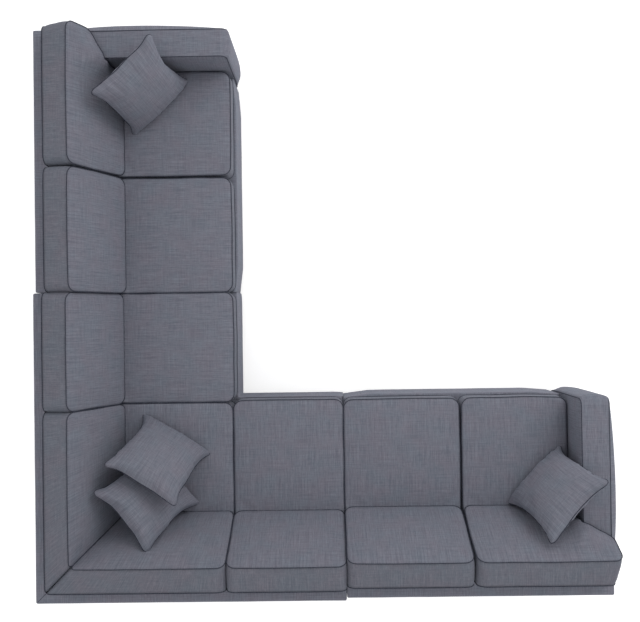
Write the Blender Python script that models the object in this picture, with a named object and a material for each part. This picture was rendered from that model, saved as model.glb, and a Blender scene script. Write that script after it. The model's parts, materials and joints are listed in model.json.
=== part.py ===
"""An L-shaped sectional sofa in three sections: a corner section between two end sections with arms.

Metres, +Z up, front towards -Y. The back run lies along +Y and the side run along +X. "Left" and
"right" are seen from the front: the left section ends the back run, the right one ends the side run.
Inside a section, a is the distance along the run, starting at the outer corner or at the seam, and
w is the distance from the outer back face. The corner section's two runs meet on the mitre a = w.
"""

import math

import bmesh
import bpy
from mathutils import Vector
from mathutils.bvhtree import BVHTree

# Plan sizes
SECTION_DEPTH = 0.985
CORNER_SEAT_WIDTH = 0.595
INNER_SEAT_WIDTH = 0.63
ARM_SEAT_WIDTH = 0.58
ARM_WIDTH = 0.15
SEAM_GAP = 0.004
SECTION_STEP = 0.014

# Heights above the floor
ARM_HEIGHT = 0.67
BACK_HEIGHT = 0.71
DECK_HEIGHT = 0.31

# Clearances: between touching pieces, between leaning ones, and above an arm
FIT_GAP = 0.0003
REST_GAP = 0.0004
WING_CLEARANCE = 0.001

# Upholstered body
BACK_TOP_THICKNESS = 0.09
BACK_FOOT_THICKNESS = 0.155
BACK_END_INSET = 0.01
PADDING = 0.022
COVER_ROUNDING = 0.009

# Underside
LEG_HEIGHT = 0.058
LEG_TOP_WIDTH = 0.06
LEG_FOOT_WIDTH = 0.048
LEG_ROUNDING = 0.004
LEG_INSET = 0.08
DUST_CLOTH = 0.0015
DUST_HEM = 0.018

# Timber frames and webbing
BOARD = 0.025
BACK_RAIL = 0.05
POST_SPACING = 0.5
RAIL_SPACING = 0.26
STRAP_WIDTH = 0.05
STRAP_SPACING = 0.12
STRAP_THICKNESS = 0.003

# Seat cushions
SEAT_CUSHION_HEIGHT = 0.14
SEAT_CROWN = 0.018
SEAT_SETBACK = 0.003
CUSHION_INSET = 0.008
CUSHION_CORNER = 0.045
BOXING_BULGE = 0.0065
SIDE_DRAW = 0.004

# Back cushions: depths of the front face from the outer back face
BACK_CUSHION_FRONT_RISE = 0.405
BACK_CUSHION_REAR_RISE = 0.385
BACK_CUSHION_FOOT = 0.395
BACK_CUSHION_TOP = 0.216
BACK_CROWN = 0.022
MITRE_GAP = 0.004
WING_SETBACK = 0.018

# Scatter cushions
SCATTER_SIZE = 0.42
SCATTER_THICKNESS = 0.17
SCATTER_DRAW = 0.09
SCATTER_MOST_LEAN = math.radians(70)
SCATTER_DROP = 0.08
SCATTER_CELLS = 10
LEFT_SCATTER_TO_ARM = 0.214
LEFT_SCATTER_DEPTH = 0.568
RIGHT_SCATTER_TO_ARM = 0.212
RIGHT_SCATTER_DEPTH = 0.607
REAR_SCATTER_RUN = 0.666
REAR_SCATTER_DEPTH = 0.609
FRONT_SCATTER_RUN = 0.687
FRONT_SCATTER_DEPTH = 0.83

# Swing hooks that join the sections
PIN_INSET = 0.045
PIN_RADIUS = 0.005
PIN_HEAD_RADIUS = 0.009
PIN_HEAD_HEIGHT = 0.0035
PIN_ROOT = 0.0015
PIN_SIDES = 16
STRIP_WIDTH = 0.04
STRIP_THICKNESS = 0.003
STRIP_LEG_CLEARANCE = 0.03
PIN_END_DISTANCE = 0.08
HOOK_HALF_WIDTH = 0.015
HOOK_THICKNESS = 0.004
HOOK_TIP = 0.012
HOOK_GRIP_CLEARANCE = 0.0006
HOOK_SWING_CLEARANCE = 0.0022

# Sizes that follow
CORNER_RUN = SECTION_DEPTH + CORNER_SEAT_WIDTH
ARM_INNER = INNER_SEAT_WIDTH + ARM_SEAT_WIDTH
END_RUN = ARM_INNER + ARM_WIDTH
BODY_END = ARM_INNER - FIT_GAP
BACK_END = END_RUN - BACK_END_INSET
HALF_LENGTH = (CORNER_RUN + SEAM_GAP + END_RUN) / 2
DUST_BOTTOM = LEG_HEIGHT + FIT_GAP
BODY_BOTTOM = DUST_BOTTOM + DUST_CLOTH + FIT_GAP
STRAP_TOP = DECK_HEIGHT - PADDING - FIT_GAP
BASE_FRAME_TOP = STRAP_TOP - STRAP_THICKNESS - FIT_GAP
SEAT_BOTTOM = DECK_HEIGHT + FIT_GAP
SEAT_TOP = SEAT_BOTTOM + SEAT_CUSHION_HEIGHT
SEAT_REAR = BACK_FOOT_THICKNESS + FIT_GAP
SEAT_FRONT = SECTION_DEPTH - SEAT_SETBACK
BACK_CUSHION_BOTTOM = SEAT_TOP + FIT_GAP
FRAME_INSET = PADDING + FIT_GAP
STRIP_TOP = DUST_BOTTOM - FIT_GAP
STRIP_BOTTOM = STRIP_TOP - STRIP_THICKNESS
HOOK_TOP = STRIP_BOTTOM - FIT_GAP
HOOK_BOTTOM = HOOK_TOP - HOOK_THICKNESS
HEAD_TOP = HOOK_BOTTOM - FIT_GAP
PIN_DISTANCE = 2 * PIN_INSET + SEAM_GAP
REAR_PIN = LEG_INSET + LEG_TOP_WIDTH / 2 + STRIP_LEG_CLEARANCE + PIN_END_DISTANCE
FRONT_PIN = SECTION_DEPTH - REAR_PIN

# The middle of each scatter cushion's lower edge, as (a, w), and where it faces in its section's frame
LEFT_SCATTER = (ARM_INNER - LEFT_SCATTER_TO_ARM, LEFT_SCATTER_DEPTH, math.radians(137))
RIGHT_SCATTER = (ARM_INNER - RIGHT_SCATTER_TO_ARM, RIGHT_SCATTER_DEPTH, math.radians(-46))
REAR_SCATTER = (REAR_SCATTER_RUN, REAR_SCATTER_DEPTH, math.radians(41))
FRONT_SCATTER = (FRONT_SCATTER_RUN, FRONT_SCATTER_DEPTH, math.radians(59))
SETTLE_HALVINGS = 15
SETTLE_TURNS = 4

# Sides of a cushion's face
LEFT, RIGHT, DOWN, UP = (-1, 0), (1, 0), (0, -1), (0, 1)


def blend(start, end, share):
    return start + (end - start) * share


def steps(start, end, count):
    return [blend(start, end, k / count) for k in range(count + 1)]


def spans(start, end, margin, count):
    """Stations from start to end, with a margin at each end and equal steps between."""
    return [start, *steps(start + margin, end - margin, count), end]


def back_face(z, pad=0.0):
    """How far the front of the upholstered back lies from its outer face at height z."""
    share = (z - DECK_HEIGHT + pad) / (BACK_HEIGHT - DECK_HEIGHT)
    share = min(max(share, 0.0), 1.0)
    return blend(BACK_FOOT_THICKNESS, BACK_TOP_THICKNESS, share) - pad


def back_run(a, w, z):
    return a, w, z


def side_run(a, w, z):
    return w, a, z


def round_corner(s, w, z):
    """A run bent at the mitre: s is positive on the back run, negative on the side run, 0 between."""
    if s == 0:
        return w, w, z
    return back_run(s, w, z) if s > 0 else side_run(-s, w, z)


def clear_scene():
    for thing in list(bpy.data.objects):
        bpy.data.objects.remove(thing)


def linear(level):
    """One sRGB level from 0 to 255, as linear light."""
    level /= 255
    return level / 12.92 if level <= 0.04045 else ((level + 0.055) / 1.055) ** 2.4


def finish(name, red, green, blue, roughness, metallic=0.0):
    material = bpy.data.materials.new(name)
    material.use_nodes = True
    shader = material.node_tree.nodes["Principled BSDF"]
    shader.inputs["Base Color"].default_value = (linear(red), linear(green), linear(blue), 1.0)
    shader.inputs["Roughness"].default_value = roughness
    shader.inputs["Metallic"].default_value = metallic
    return material


def section_empty(name, x, y):
    """A section's frame, turned so that its run and its depth both lead away from the corner."""
    empty = bpy.data.objects.new(name, None)
    empty.location = (x, y, 0)
    empty.rotation_euler.z = math.pi
    bpy.context.scene.collection.objects.link(empty)
    return empty


def add(name, bm, material, section, location=(0, 0, 0)):
    """Turn a closed bmesh into a named object in its section."""
    bmesh.ops.recalc_face_normals(bm, faces=bm.faces)
    if bm.calc_volume(signed=True) < 0:
        bmesh.ops.reverse_faces(bm, faces=bm.faces)
    mesh = bpy.data.meshes.new(name)
    bm.to_mesh(mesh)
    bm.free()
    mesh.shade_smooth()
    mesh.set_sharp_from_angle(angle=math.radians(40))
    mesh.materials.append(material)
    thing = bpy.data.objects.new(name, mesh)
    thing.location = location
    thing.parent = section
    bpy.context.scene.collection.objects.link(thing)
    return thing


def helper(name, bm, material, section, location=(0, 0, 0)):
    """An object that only cuts or joins another."""
    thing = add(name, bm, material, section, location)
    thing.hide_render = True
    thing.display_type = "WIRE"
    return thing


def combine(thing, other, operation):
    modifier = thing.modifiers.new(other.name, "BOOLEAN")
    modifier.operation = operation
    modifier.object = other


def loft(rings):
    """A closed solid through rings of as many points each, with its two end rings as caps."""
    bm = bmesh.new()
    rings = [[bm.verts.new(point) for point in ring] for ring in rings]
    for one, two in zip(rings, rings[1:]):
        for k in range(len(one)):
            after = (k + 1) % len(one)
            bm.faces.new((one[k], one[after], two[after], two[k]))
    bm.faces.new(rings[0])
    bm.faces.new(rings[-1])
    return bm


def slab(columns, rows, filled, point, levels=(0.0, 1.0)):
    """Two sheets of the filled grid cells, joined round every border through the levels.

    point(i, j, level) places the grid corner in column i and row j.
    """
    bm = bmesh.new()
    made = {}

    def corner(i, j, level):
        if (i, j, level) not in made:
            made[i, j, level] = bm.verts.new(point(i, j, level))
        return made[i, j, level]

    for i, j in sorted(filled):
        loop = [(i, j), (i + 1, j), (i + 1, j + 1), (i, j + 1)]
        beyond = [(i, j - 1), (i + 1, j), (i, j + 1), (i - 1, j)]
        for level in (levels[0], levels[-1]):
            bm.faces.new([corner(*place, level) for place in loop])
        for one, two, neighbour in zip(loop, loop[1:] + loop[:1], beyond):
            if neighbour in filled:
                continue
            for low, high in zip(levels, levels[1:]):
                bm.faces.new([corner(*one, low), corner(*two, low), corner(*two, high), corner(*one, high)])
    return bm


def lattice(boards, point):
    """A solid over the union of boards (u0, u1, v0, v1); point(u, v, side) places its two faces."""
    boards = [tuple(round(edge, 6) for edge in board) for board in boards]
    columns = sorted({edge for board in boards for edge in board[:2]})
    rows = sorted({edge for board in boards for edge in board[2:]})
    filled = {
        (i, j)
        for i in range(len(columns) - 1)
        for j in range(len(rows) - 1)
        for u0, u1, v0, v1 in boards
        if u0 <= columns[i] < u1 and v0 <= rows[j] < v1
    }
    return slab(columns, rows, filled, lambda i, j, side: point(columns[i], rows[j], side))


def rails(u0, u1, v0, v1, width, spacing):
    """A frame of boards between two corners, with cross rails no further apart than spacing."""
    count = math.ceil((u1 - u0 - width) / (spacing + width))
    cross = [(u, u + width, v0, v1) for u in steps(u0, u1 - width, count)]
    return [*cross, (u0, u1, v0, v0 + width), (u0, u1, v1 - width, v1)]


def straps(u0, u1, v0, v1):
    """Webbing both ways between two corners."""
    across = rails(v0, v1, u0, u1, STRAP_WIDTH, STRAP_SPACING)
    return rails(u0, u1, v0, v1, STRAP_WIDTH, STRAP_SPACING) + [(c, d, a, b) for a, b, c, d in across]


def level_sheet(run, bottom, top):
    """A point function for a lattice that lies level between two heights."""
    return lambda u, v, side: run(u, v, blend(bottom, top, side))


def soften(bm, width):
    """Round every convex edge that isn't on the bottom rim."""
    bmesh.ops.recalc_face_normals(bm, faces=bm.faces)
    low = min(vert.co.z for vert in bm.verts) + FIT_GAP
    edges = [
        edge
        for edge in bm.edges
        if edge.is_convex and edge.calc_face_angle() > 0.3 and max(v.co.z for v in edge.verts) > low
    ]
    bmesh.ops.bevel(bm, geom=edges, offset=width, segments=2, profile=0.5, affect="EDGES")
    return bm


def body_profile(pad, bottom):
    """The section through base and back as (w, z) points, drawn in by pad from the outer skin."""
    return [
        (pad, bottom),
        (pad, BACK_HEIGHT - pad),
        (BACK_TOP_THICKNESS - pad, BACK_HEIGHT - pad),
        (BACK_FOOT_THICKNESS - pad, DECK_HEIGHT - pad),
        (SECTION_DEPTH - pad, DECK_HEIGHT - pad),
        (SECTION_DEPTH - pad, bottom),
    ]


def corner_body(pad, bottom):
    end = CORNER_RUN - pad
    profile = body_profile(pad, bottom)
    return loft([[round_corner(s, w, z) for w, z in profile] for s in (end, 0, -end)])


def end_body(run, pad, bottom):
    """Base and back of an end section: the back goes on behind the arm, and the base stops at it."""
    profile = body_profile(pad, bottom)
    profile.append((BACK_FOOT_THICKNESS - pad, bottom))
    bm = bmesh.new()
    first, middle = (
        [bm.verts.new(run(a, w, z)) for w, z in profile] for a in (pad, BODY_END - pad)
    )
    back = (0, 1, 2, 3, 6)
    last = {k: bm.verts.new(run(BACK_END - pad, *profile[k])) for k in back}
    bm.faces.new(first)
    bm.faces.new([middle[k] for k in (3, 4, 5, 6)])
    bm.faces.new([last[k] for k in back])
    for k in range(len(profile)):
        after = (k + 1) % len(profile)
        bm.faces.new((first[k], first[after], middle[after], middle[k]))
    for k, after in zip(back, back[1:] + back[:1]):
        bm.faces.new((middle[k], middle[after], last[after], last[k]))
    return bm


def arm_body(run, pad, bottom):
    """An arm from the front of the base to the slanted back, drawn in by pad."""
    rear_top = back_face(ARM_HEIGHT) + FIT_GAP + pad
    rear_foot = SEAT_REAR + pad
    profile = [
        (rear_foot, bottom),
        (rear_foot, DECK_HEIGHT),
        (rear_top, ARM_HEIGHT - pad),
        (SECTION_DEPTH - pad, ARM_HEIGHT - pad),
        (SECTION_DEPTH - pad, bottom),
    ]
    ends = (ARM_INNER + pad, END_RUN - pad)
    return loft([[run(a, w, z) for w, z in profile] for a in ends])


def shell(name, outer, cavity, material, section):
    """A padded cover: the softened outer shape, hollowed from below."""
    cover = add(name, soften(outer, COVER_ROUNDING), material, section)
    combine(cover, helper(name + "_hollow", cavity, material, section), "DIFFERENCE")
    return cover


def base_frame(name, boards, run, material, section):
    add(name, lattice(boards, level_sheet(run, BODY_BOTTOM, BASE_FRAME_TOP)), material, section)


def webbing(name, bands, run, material, section):
    bm = lattice(bands, level_sheet(run, STRAP_TOP - STRAP_THICKNESS, STRAP_TOP))
    add(name, bm, material, section)


def dust_cover(name, panels, run, material, section):
    bm = lattice(panels, level_sheet(run, DUST_BOTTOM, DUST_BOTTOM + DUST_CLOTH))
    add(name, bm, material, section)


def back_boards(start, end, posts_from):
    """Posts and three rails of a back frame, in distance along the run and height."""
    top = BACK_HEIGHT - FRAME_INSET
    count = math.ceil((end - posts_from) / POST_SPACING)
    posts = [(a, a + BACK_RAIL) for a in steps(posts_from, end - BACK_RAIL, count)]
    levels = (BODY_BOTTOM, DECK_HEIGHT - BACK_RAIL / 2, top - BACK_RAIL)
    boards = [(u0, u1, BODY_BOTTOM, top) for u0, u1 in posts]
    return boards + [(start, end, z, z + BACK_RAIL) for z in levels]


def back_frame(name, boards, run, material, section):
    def point(s, z, side):
        return run(s, blend(FRAME_INSET, back_face(z, PADDING) - FIT_GAP, side), z)

    add(name, lattice(boards, point), material, section)


def arm_frame(name, run, material, section):
    """Posts, rails and a middle rail inside an arm."""
    front, top = SECTION_DEPTH - FRAME_INSET, ARM_HEIGHT - FRAME_INSET
    rear = SEAT_REAR + FRAME_INSET
    boards = rails(rear, front, BODY_BOTTOM, top, BACK_RAIL, POST_SPACING)
    middle = DECK_HEIGHT - BACK_RAIL / 2
    boards.append((rear, front, middle, middle + BACK_RAIL))

    def point(w, z, side):
        return run(blend(ARM_INNER + FRAME_INSET, END_RUN - FRAME_INSET, side), w, z)

    add(name, lattice(boards, point), material, section)


def bump(share):
    """0 at both ends and 1 in the middle, rising quickly from each end."""
    return 1 - abs(2 * share - 1) ** 2.6 if 0 < share < 1 else 0.0


def outward(cells):
    """Which way the outside lies of a grid corner, from the offsets of the cells that meet there."""
    sides = (sum(2 * cell[axis] + 1 for cell in cells) for axis in (0, 1))
    return [(side < 0) - (side > 0) for side in sides]


def box_cushion(name, columns, rows, place, crown, loose, run, material, section, missing=()):
    """A boxed cushion with round corners, drawn-in seams, a full boxing and a crowned face.

    columns and rows are distances over its face. place(x, y, level) gives (a, w, z) on the back
    (level 0), in the middle of the boxing (0.5) and on the face (1). crown(x, y) gives the face's
    rise as (a, w, z), and loose names the sides that may swell, by their direction.
    """
    width, height = columns[-1], rows[-1]
    grid = {(i, j) for i in range(len(columns) - 1) for j in range(len(rows) - 1)} - set(missing)

    def point(i, j, level):
        cells = [(x, y) for x in (-1, 0) for y in (-1, 0) if (i + x, j + y) in grid]
        x, y = columns[i], rows[j]
        if len(cells) == 4:
            rise = crown(x, y) if level == 1 else (0, 0, 0)
            return run(*map(sum, zip(place(x, y, level), rise)))
        right, up = outward(cells)
        if len(cells) == 1:
            cut = CUSHION_CORNER * (1 - math.sqrt(0.5))
            x, y = x - right * cut, y - up * cut
        swell_x = swell_y = BOXING_BULGE
        if level != 0.5:
            swell_x = -SIDE_DRAW * math.sin(math.pi * rows[j] / height)
            swell_y = -SIDE_DRAW * math.sin(math.pi * columns[i] / width)
        if (right, 0) in loose:
            x += right * swell_x
        if (0, up) in loose:
            y += up * swell_y
        return run(*place(x, y, level))

    return add(name, slab(columns, rows, grid, point, (0.0, 0.5, 1.0)), material, section)


def seat_cushion(name, start, end, run, material, section, front=SEAT_FRONT, crown_start=None):
    """The cushion of one seat, from start to end along the run and flat under the back cushions."""
    width, depth = end - start, front - SEAT_REAR
    crown_start = start if crown_start is None else crown_start
    flat_x, flat_y = crown_start - start, BACK_CUSHION_FOOT - SEAT_REAR

    def place(x, y, level):
        return start + x, SEAT_REAR + y, SEAT_BOTTOM + level * SEAT_CUSHION_HEIGHT

    def crown(x, y):
        across = bump((x - flat_x) / (width - flat_x))
        return 0, 0, SEAT_CROWN * across * bump((y - flat_y) / (depth - flat_y))

    columns = spans(0, width, CUSHION_CORNER, 5)
    if flat_x > CUSHION_CORNER:
        columns = [0, CUSHION_CORNER, *steps(flat_x, width - CUSHION_CORNER, 4), width]
    rows = [0, CUSHION_CORNER, *steps(flat_y, depth - CUSHION_CORNER, 4), depth]
    sides = (LEFT, RIGHT, DOWN, UP)
    return box_cushion(name, columns, rows, place, crown, sides, run, material, section)


def back_cushion(name, start, end, run, material, section, mitred=False, winged=False):
    """A leaning cushion between start and end, with a mitred start or a wing over the arm."""
    width, height = end - start, BACK_CUSHION_FRONT_RISE
    lean = math.hypot(height, BACK_CUSHION_FOOT - BACK_CUSHION_TOP)
    forward = height / lean
    upward = (BACK_CUSHION_FOOT - BACK_CUSHION_TOP) / lean

    def place(x, y, level):
        rear_z = BACK_CUSHION_BOTTOM + y * BACK_CUSHION_REAR_RISE / height
        rear_w = back_face(rear_z) + FIT_GAP
        front_w = blend(BACK_CUSHION_FOOT, BACK_CUSHION_TOP, y / height)
        w = blend(rear_w, front_w, level)
        first = w + MITRE_GAP / 2 if mitred else start
        return blend(first, end, x / width), w, blend(rear_z, BACK_CUSHION_BOTTOM + y, level)

    def crown(x, y):
        rise = BACK_CROWN * bump(x / columns[-1]) * bump(y / height)
        return 0, rise * forward, rise * upward

    columns = spans(0, width, CUSHION_CORNER, 5)
    kink = (BACK_HEIGHT - BACK_CUSHION_BOTTOM) * height / BACK_CUSHION_REAR_RISE
    rows = [0, CUSHION_CORNER, *steps(CUSHION_CORNER, kink, 3)[1:], height - CUSHION_CORNER, height]
    missing = []
    if winged:
        wing_end = END_RUN - WING_SETBACK - start
        wing_foot = ARM_HEIGHT + WING_CLEARANCE - BACK_CUSHION_BOTTOM
        wing_foot *= height / BACK_CUSHION_REAR_RISE
        under = len(columns) - 1
        columns += [wing_end - CUSHION_CORNER, wing_end]
        rows = sorted([*rows, wing_foot])
        missing = [(i, j) for i in (under, under + 1) for j in range(rows.index(wing_foot))]
    sides = (RIGHT, UP) if mitred else (LEFT, RIGHT, UP)
    return box_cushion(name, columns, rows, place, crown, sides, run, material, section, missing)


def scatter_cushion(name, location, heading, material, section):
    """A knife-edged square cushion with pointed corners, upright on the middle of its lower edge."""
    stations = steps(-1, 1, SCATTER_CELLS)

    def point(i, j, side):
        u, v = stations[i], stations[j]
        full = math.sqrt((1 - u * u) * (1 - v * v))
        x = SCATTER_SIZE / 2 * u * (1 - SCATTER_DRAW * (1 - v * v))
        z = SCATTER_SIZE / 2 * (1 + v * (1 - SCATTER_DRAW * (1 - u * u)))
        return x, (side - 0.5) * SCATTER_THICKNESS * full, z

    cells = {(i, j) for i in range(SCATTER_CELLS) for j in range(SCATTER_CELLS)}
    bm = slab(stations, stations, cells, point)
    bmesh.ops.remove_doubles(bm, verts=bm.verts, dist=0.00001)
    cushion = add(name, bm, material, section, location)
    cushion.rotation_euler.z = heading + math.pi / 2
    return cushion


def tree_of(things):
    """A search tree over the surfaces of things in one section."""
    points, faces = [], []
    for thing in things:
        first = len(points)
        points += [thing.matrix_basis @ vert.co for vert in thing.data.vertices]
        faces += [[first + k for k in face.vertices] for face in thing.data.polygons]
    return BVHTree.FromPolygons(points, faces)


def furthest(thing, held, reach, move):
    """How far move(distance) can take the thing, up to reach, before it meets the held tree."""
    clear, blocked = 0.0, reach
    for _ in range(SETTLE_HALVINGS):
        middle = (clear + blocked) / 2
        move(middle)
        if held.overlap(tree_of([thing])):
            blocked = middle
        else:
            clear = middle
    return clear


def settle(cushion, seats, backs):
    """Let a scatter cushion down on its seat and lean it back until it rests, in turn."""

    def lower(drop):
        cushion.location.z = SEAT_TOP + SCATTER_DROP - drop

    def lean(angle):
        cushion.rotation_euler.x = -angle

    everything, behind = tree_of(seats + backs), tree_of(backs)
    for _ in range(SETTLE_TURNS):
        lower(furthest(cushion, everything, 2 * SCATTER_DROP, lower) - REST_GAP)
        lean(furthest(cushion, behind, SCATTER_MOST_LEAN, lean) - REST_GAP / SCATTER_SIZE)
    lower(furthest(cushion, everything, 2 * SCATTER_DROP, lower) - REST_GAP)


def leg(name, place, material, section):
    """A square block, tapered to the floor, under one corner of a section."""
    rings = [
        [(x * width / 2, y * width / 2, z) for x, y in ((-1, -1), (1, -1), (1, 1), (-1, 1))]
        for width, z in ((LEG_FOOT_WIDTH, 0), (LEG_TOP_WIDTH, LEG_HEIGHT))
    ]
    bm = loft(rings)
    edges = [edge for edge in bm.edges if abs(edge.verts[0].co.z - edge.verts[1].co.z) > FIT_GAP]
    bmesh.ops.bevel(bm, geom=edges, offset=LEG_ROUNDING, segments=2, profile=0.5, affect="EDGES")
    add(name, bm, material, section, (*place, 0))


def turned(profile, centre):
    """A solid of revolution on the upright line through centre, from (radius, height) pairs."""
    turns = [2 * math.pi * k / PIN_SIDES for k in range(PIN_SIDES)]
    rings = [
        [(centre[0] + r * math.cos(t), centre[1] + r * math.sin(t), z) for t in turns]
        for r, z in profile
    ]
    return loft(rings)


def headed_pin(centre):
    profile = [
        (PIN_RADIUS, STRIP_BOTTOM + PIN_ROOT),
        (PIN_RADIUS, HEAD_TOP),
        (PIN_HEAD_RADIUS, HEAD_TOP),
        (PIN_HEAD_RADIUS, HEAD_TOP - PIN_HEAD_HEIGHT),
    ]
    return turned(profile, centre)


def pin_strip(name, shift, run, material, section, seam):
    """A flat strip under one side of a seam, with two headed pins. shift moves it along w."""
    rear, front = REAR_PIN + shift, FRONT_PIN + shift
    inward = PIN_INSET if seam == 0 else -PIN_INSET
    middle = seam + inward
    a0, a1 = middle - STRIP_WIDTH / 2, middle + STRIP_WIDTH / 2
    w0, w1 = rear - PIN_END_DISTANCE, front + PIN_END_DISTANCE
    outline = [(a0, w0), (a1, w0), (a1, w1), (a0, w1)]
    bm = loft([[run(a, w, z) for a, w in outline] for z in (STRIP_BOTTOM, STRIP_TOP)])
    strip = add(name, bm, material, section)
    for place, w in (("rear", rear), ("front", front)):
        pin = headed_pin(run(middle, w, 0))
        combine(strip, helper(f"{name}_{place}_pin", pin, material, section), "UNION")


def arc(centre, radius, start, end, count):
    """Points on an arc, with its angles in degrees."""
    turns = [math.radians(angle) for angle in steps(start, end, count)]
    return [(centre + radius * math.cos(t), radius * math.sin(t)) for t in turns]


def swing_hook(name, w, notch_side, run, material, section):
    """A flat hook on a pin of the corner section. Its notch holds the next section's pin.

    The outline starts round the pivot, at the origin, and goes by the notch, which opens to the
    side that the pin leaves by, to the tip. The swing's arc bends towards the pivot there.
    """
    outer = PIN_DISTANCE + PIN_RADIUS + HOOK_GRIP_CLEARANCE
    inner = PIN_DISTANCE - PIN_RADIUS - HOOK_SWING_CLEARANCE
    tip = outer + HOOK_TIP
    outline = arc(0, HOOK_HALF_WIDTH, 90, 270, 12)
    outline += [(inner, -HOOK_HALF_WIDTH)]
    outline += arc((inner + outer) / 2, (outer - inner) / 2, 180, 0, 8)
    outline += [(outer, -HOOK_HALF_WIDTH)]
    outline += arc(tip - HOOK_HALF_WIDTH / 2, HOOK_HALF_WIDTH, -60, 60, 6)
    rings = [[run(x, -notch_side * y, z) for x, y in outline] for z in (HOOK_BOTTOM, HOOK_TOP)]
    pivot = run(CORNER_RUN - PIN_INSET, w, 0)
    hook = add(name, loft(rings), material, section, pivot)
    bore = [(PIN_RADIUS + FIT_GAP, HOOK_BOTTOM - FIT_GAP), (PIN_RADIUS + FIT_GAP, HOOK_TOP + FIT_GAP)]
    cutter = helper(name + "_bore", turned(bore, (0, 0)), material, section, pivot)
    combine(hook, cutter, "DIFFERENCE")


def end_section(side, run, section, finishes):
    """Every piece of an end section. Returns its seats and what stands behind them."""
    fabric, timber, band, cloth, plastic, steel = finishes
    rail_end = BODY_END - FRAME_INSET
    rear, front = BACK_FOOT_THICKNESS - PADDING + FIT_GAP, SECTION_DEPTH - FRAME_INSET

    boards = rails(FRAME_INSET, rail_end, rear, front, BOARD, RAIL_SPACING)
    base_frame(f"{side}_base_frame", boards, run, timber, section)
    boards = back_boards(FRAME_INSET, BACK_END - FRAME_INSET, FRAME_INSET)
    back_frame(f"{side}_back_frame", boards, run, timber, section)
    arm_frame(f"{side}_arm_frame", run, timber, section)
    bands = straps(FRAME_INSET, rail_end, rear, front)
    webbing(f"{side}_seat_webbing", bands, run, band, section)
    panel = (DUST_HEM, END_RUN - DUST_HEM, DUST_HEM, SECTION_DEPTH - DUST_HEM)
    dust_cover(f"{side}_dust_cover", [panel], run, cloth, section)

    outer, hollow = end_body(run, 0, BODY_BOTTOM), end_body(run, PADDING, LEG_HEIGHT)
    shell(f"{side}_body_cover", outer, hollow, fabric, section)
    outer, hollow = arm_body(run, 0, BODY_BOTTOM), arm_body(run, PADDING, LEG_HEIGHT)
    seats, backs = [], [shell(f"{side}_arm_cover", outer, hollow, fabric, section)]

    widths = (
        ("inner", CUSHION_INSET, INNER_SEAT_WIDTH - CUSHION_INSET),
        ("outer", INNER_SEAT_WIDTH + CUSHION_INSET, ARM_INNER - CUSHION_INSET),
    )
    for which, a0, a1 in widths:
        name = f"{side}_{which}_seat_cushion"
        seats.append(seat_cushion(name, a0, a1, run, fabric, section))
        name, winged = f"{side}_{which}_back_cushion", which == "outer"
        backs.append(back_cushion(name, a0, a1, run, fabric, section, winged=winged))

    near = LEG_INSET
    far_a, far_w = END_RUN - near, SECTION_DEPTH - near
    for k, place in enumerate([(near, near), (near, far_w), (far_a, near), (far_a, far_w)], 1):
        leg(f"{side}_leg_{k}", run(*place, 0)[:2], plastic, section)
    pin_strip(f"{side}_seam_catch_strip", -SECTION_STEP, run, steel, section, 0)
    return seats, backs


def corner_section(section, finishes):
    """Every piece of the corner section, with the hooks that reach to its neighbours."""
    fabric, timber, band, cloth, plastic, steel = finishes
    rear, front = BACK_FOOT_THICKNESS - PADDING + FIT_GAP, SECTION_DEPTH - FRAME_INSET
    end = CORNER_RUN - FRAME_INSET

    boards = rails(rear, end, rear, front, BOARD, RAIL_SPACING)
    boards += [(c, d, a, b) for a, b, c, d in rails(front - BOARD, end, rear, front, BOARD, RAIL_SPACING)]
    base_frame("corner_base_frame", boards, back_run, timber, section)
    boards = back_boards(0, end, BACK_FOOT_THICKNESS)
    boards.append((0, BACK_FOOT_THICKNESS, BODY_BOTTOM, BACK_HEIGHT - FRAME_INSET))
    boards += [(-b, -a, c, d) for a, b, c, d in boards]
    back_frame("corner_back_frame", boards, round_corner, timber, section)
    bands = straps(rear, end, rear, front)
    bands += [(c, d, a, b) for a, b, c, d in straps(front - STRAP_WIDTH, end, rear, front)]
    webbing("corner_seat_webbing", bands, back_run, band, section)
    hem = CORNER_RUN - DUST_HEM
    depth = SECTION_DEPTH - DUST_HEM
    panels = [(DUST_HEM, hem, DUST_HEM, depth), (DUST_HEM, depth, DUST_HEM, hem)]
    dust_cover("corner_dust_cover", panels, back_run, cloth, section)
    outer, hollow = corner_body(0, BODY_BOTTOM), corner_body(PADDING, LEG_HEIGHT)
    shell("corner_body_cover", outer, hollow, fabric, section)

    end = SECTION_DEPTH - CUSHION_INSET
    name, flat = "corner_middle_seat_cushion", BACK_CUSHION_FOOT
    seats = [seat_cushion(name, SEAT_REAR, end, back_run, fabric, section, end, flat)]
    backs = []
    a0, a1 = SECTION_DEPTH + CUSHION_INSET, CORNER_RUN - CUSHION_INSET
    for side, run in (("left", back_run), ("right", side_run)):
        name = f"corner_{side}_seat_cushion"
        seats.append(seat_cushion(name, a0, a1, run, fabric, section))
        name = f"corner_{side}_back_cushion"
        backs.append(back_cushion(name, a0, a1, run, fabric, section))
        name = f"corner_{side}_mitred_cushion"
        backs.append(back_cushion(name, SEAT_REAR, end, run, fabric, section, mitred=True))
        pin_strip(f"{side}_seam_pivot_strip", 0, run, steel, section, CORNER_RUN)
        swing_hook(f"{side}_seam_rear_hook", REAR_PIN, -1, run, steel, section)
        swing_hook(f"{side}_seam_front_hook", FRONT_PIN, 1, run, steel, section)

    near, inner, far = LEG_INSET, SECTION_DEPTH - LEG_INSET, CORNER_RUN - LEG_INSET
    corners = [(near, near), (inner, inner), (far, near), (far, inner), (near, far), (inner, far)]
    for k, place in enumerate(corners, 1):
        leg(f"corner_leg_{k}", place, plastic, section)
    return seats, backs


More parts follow.
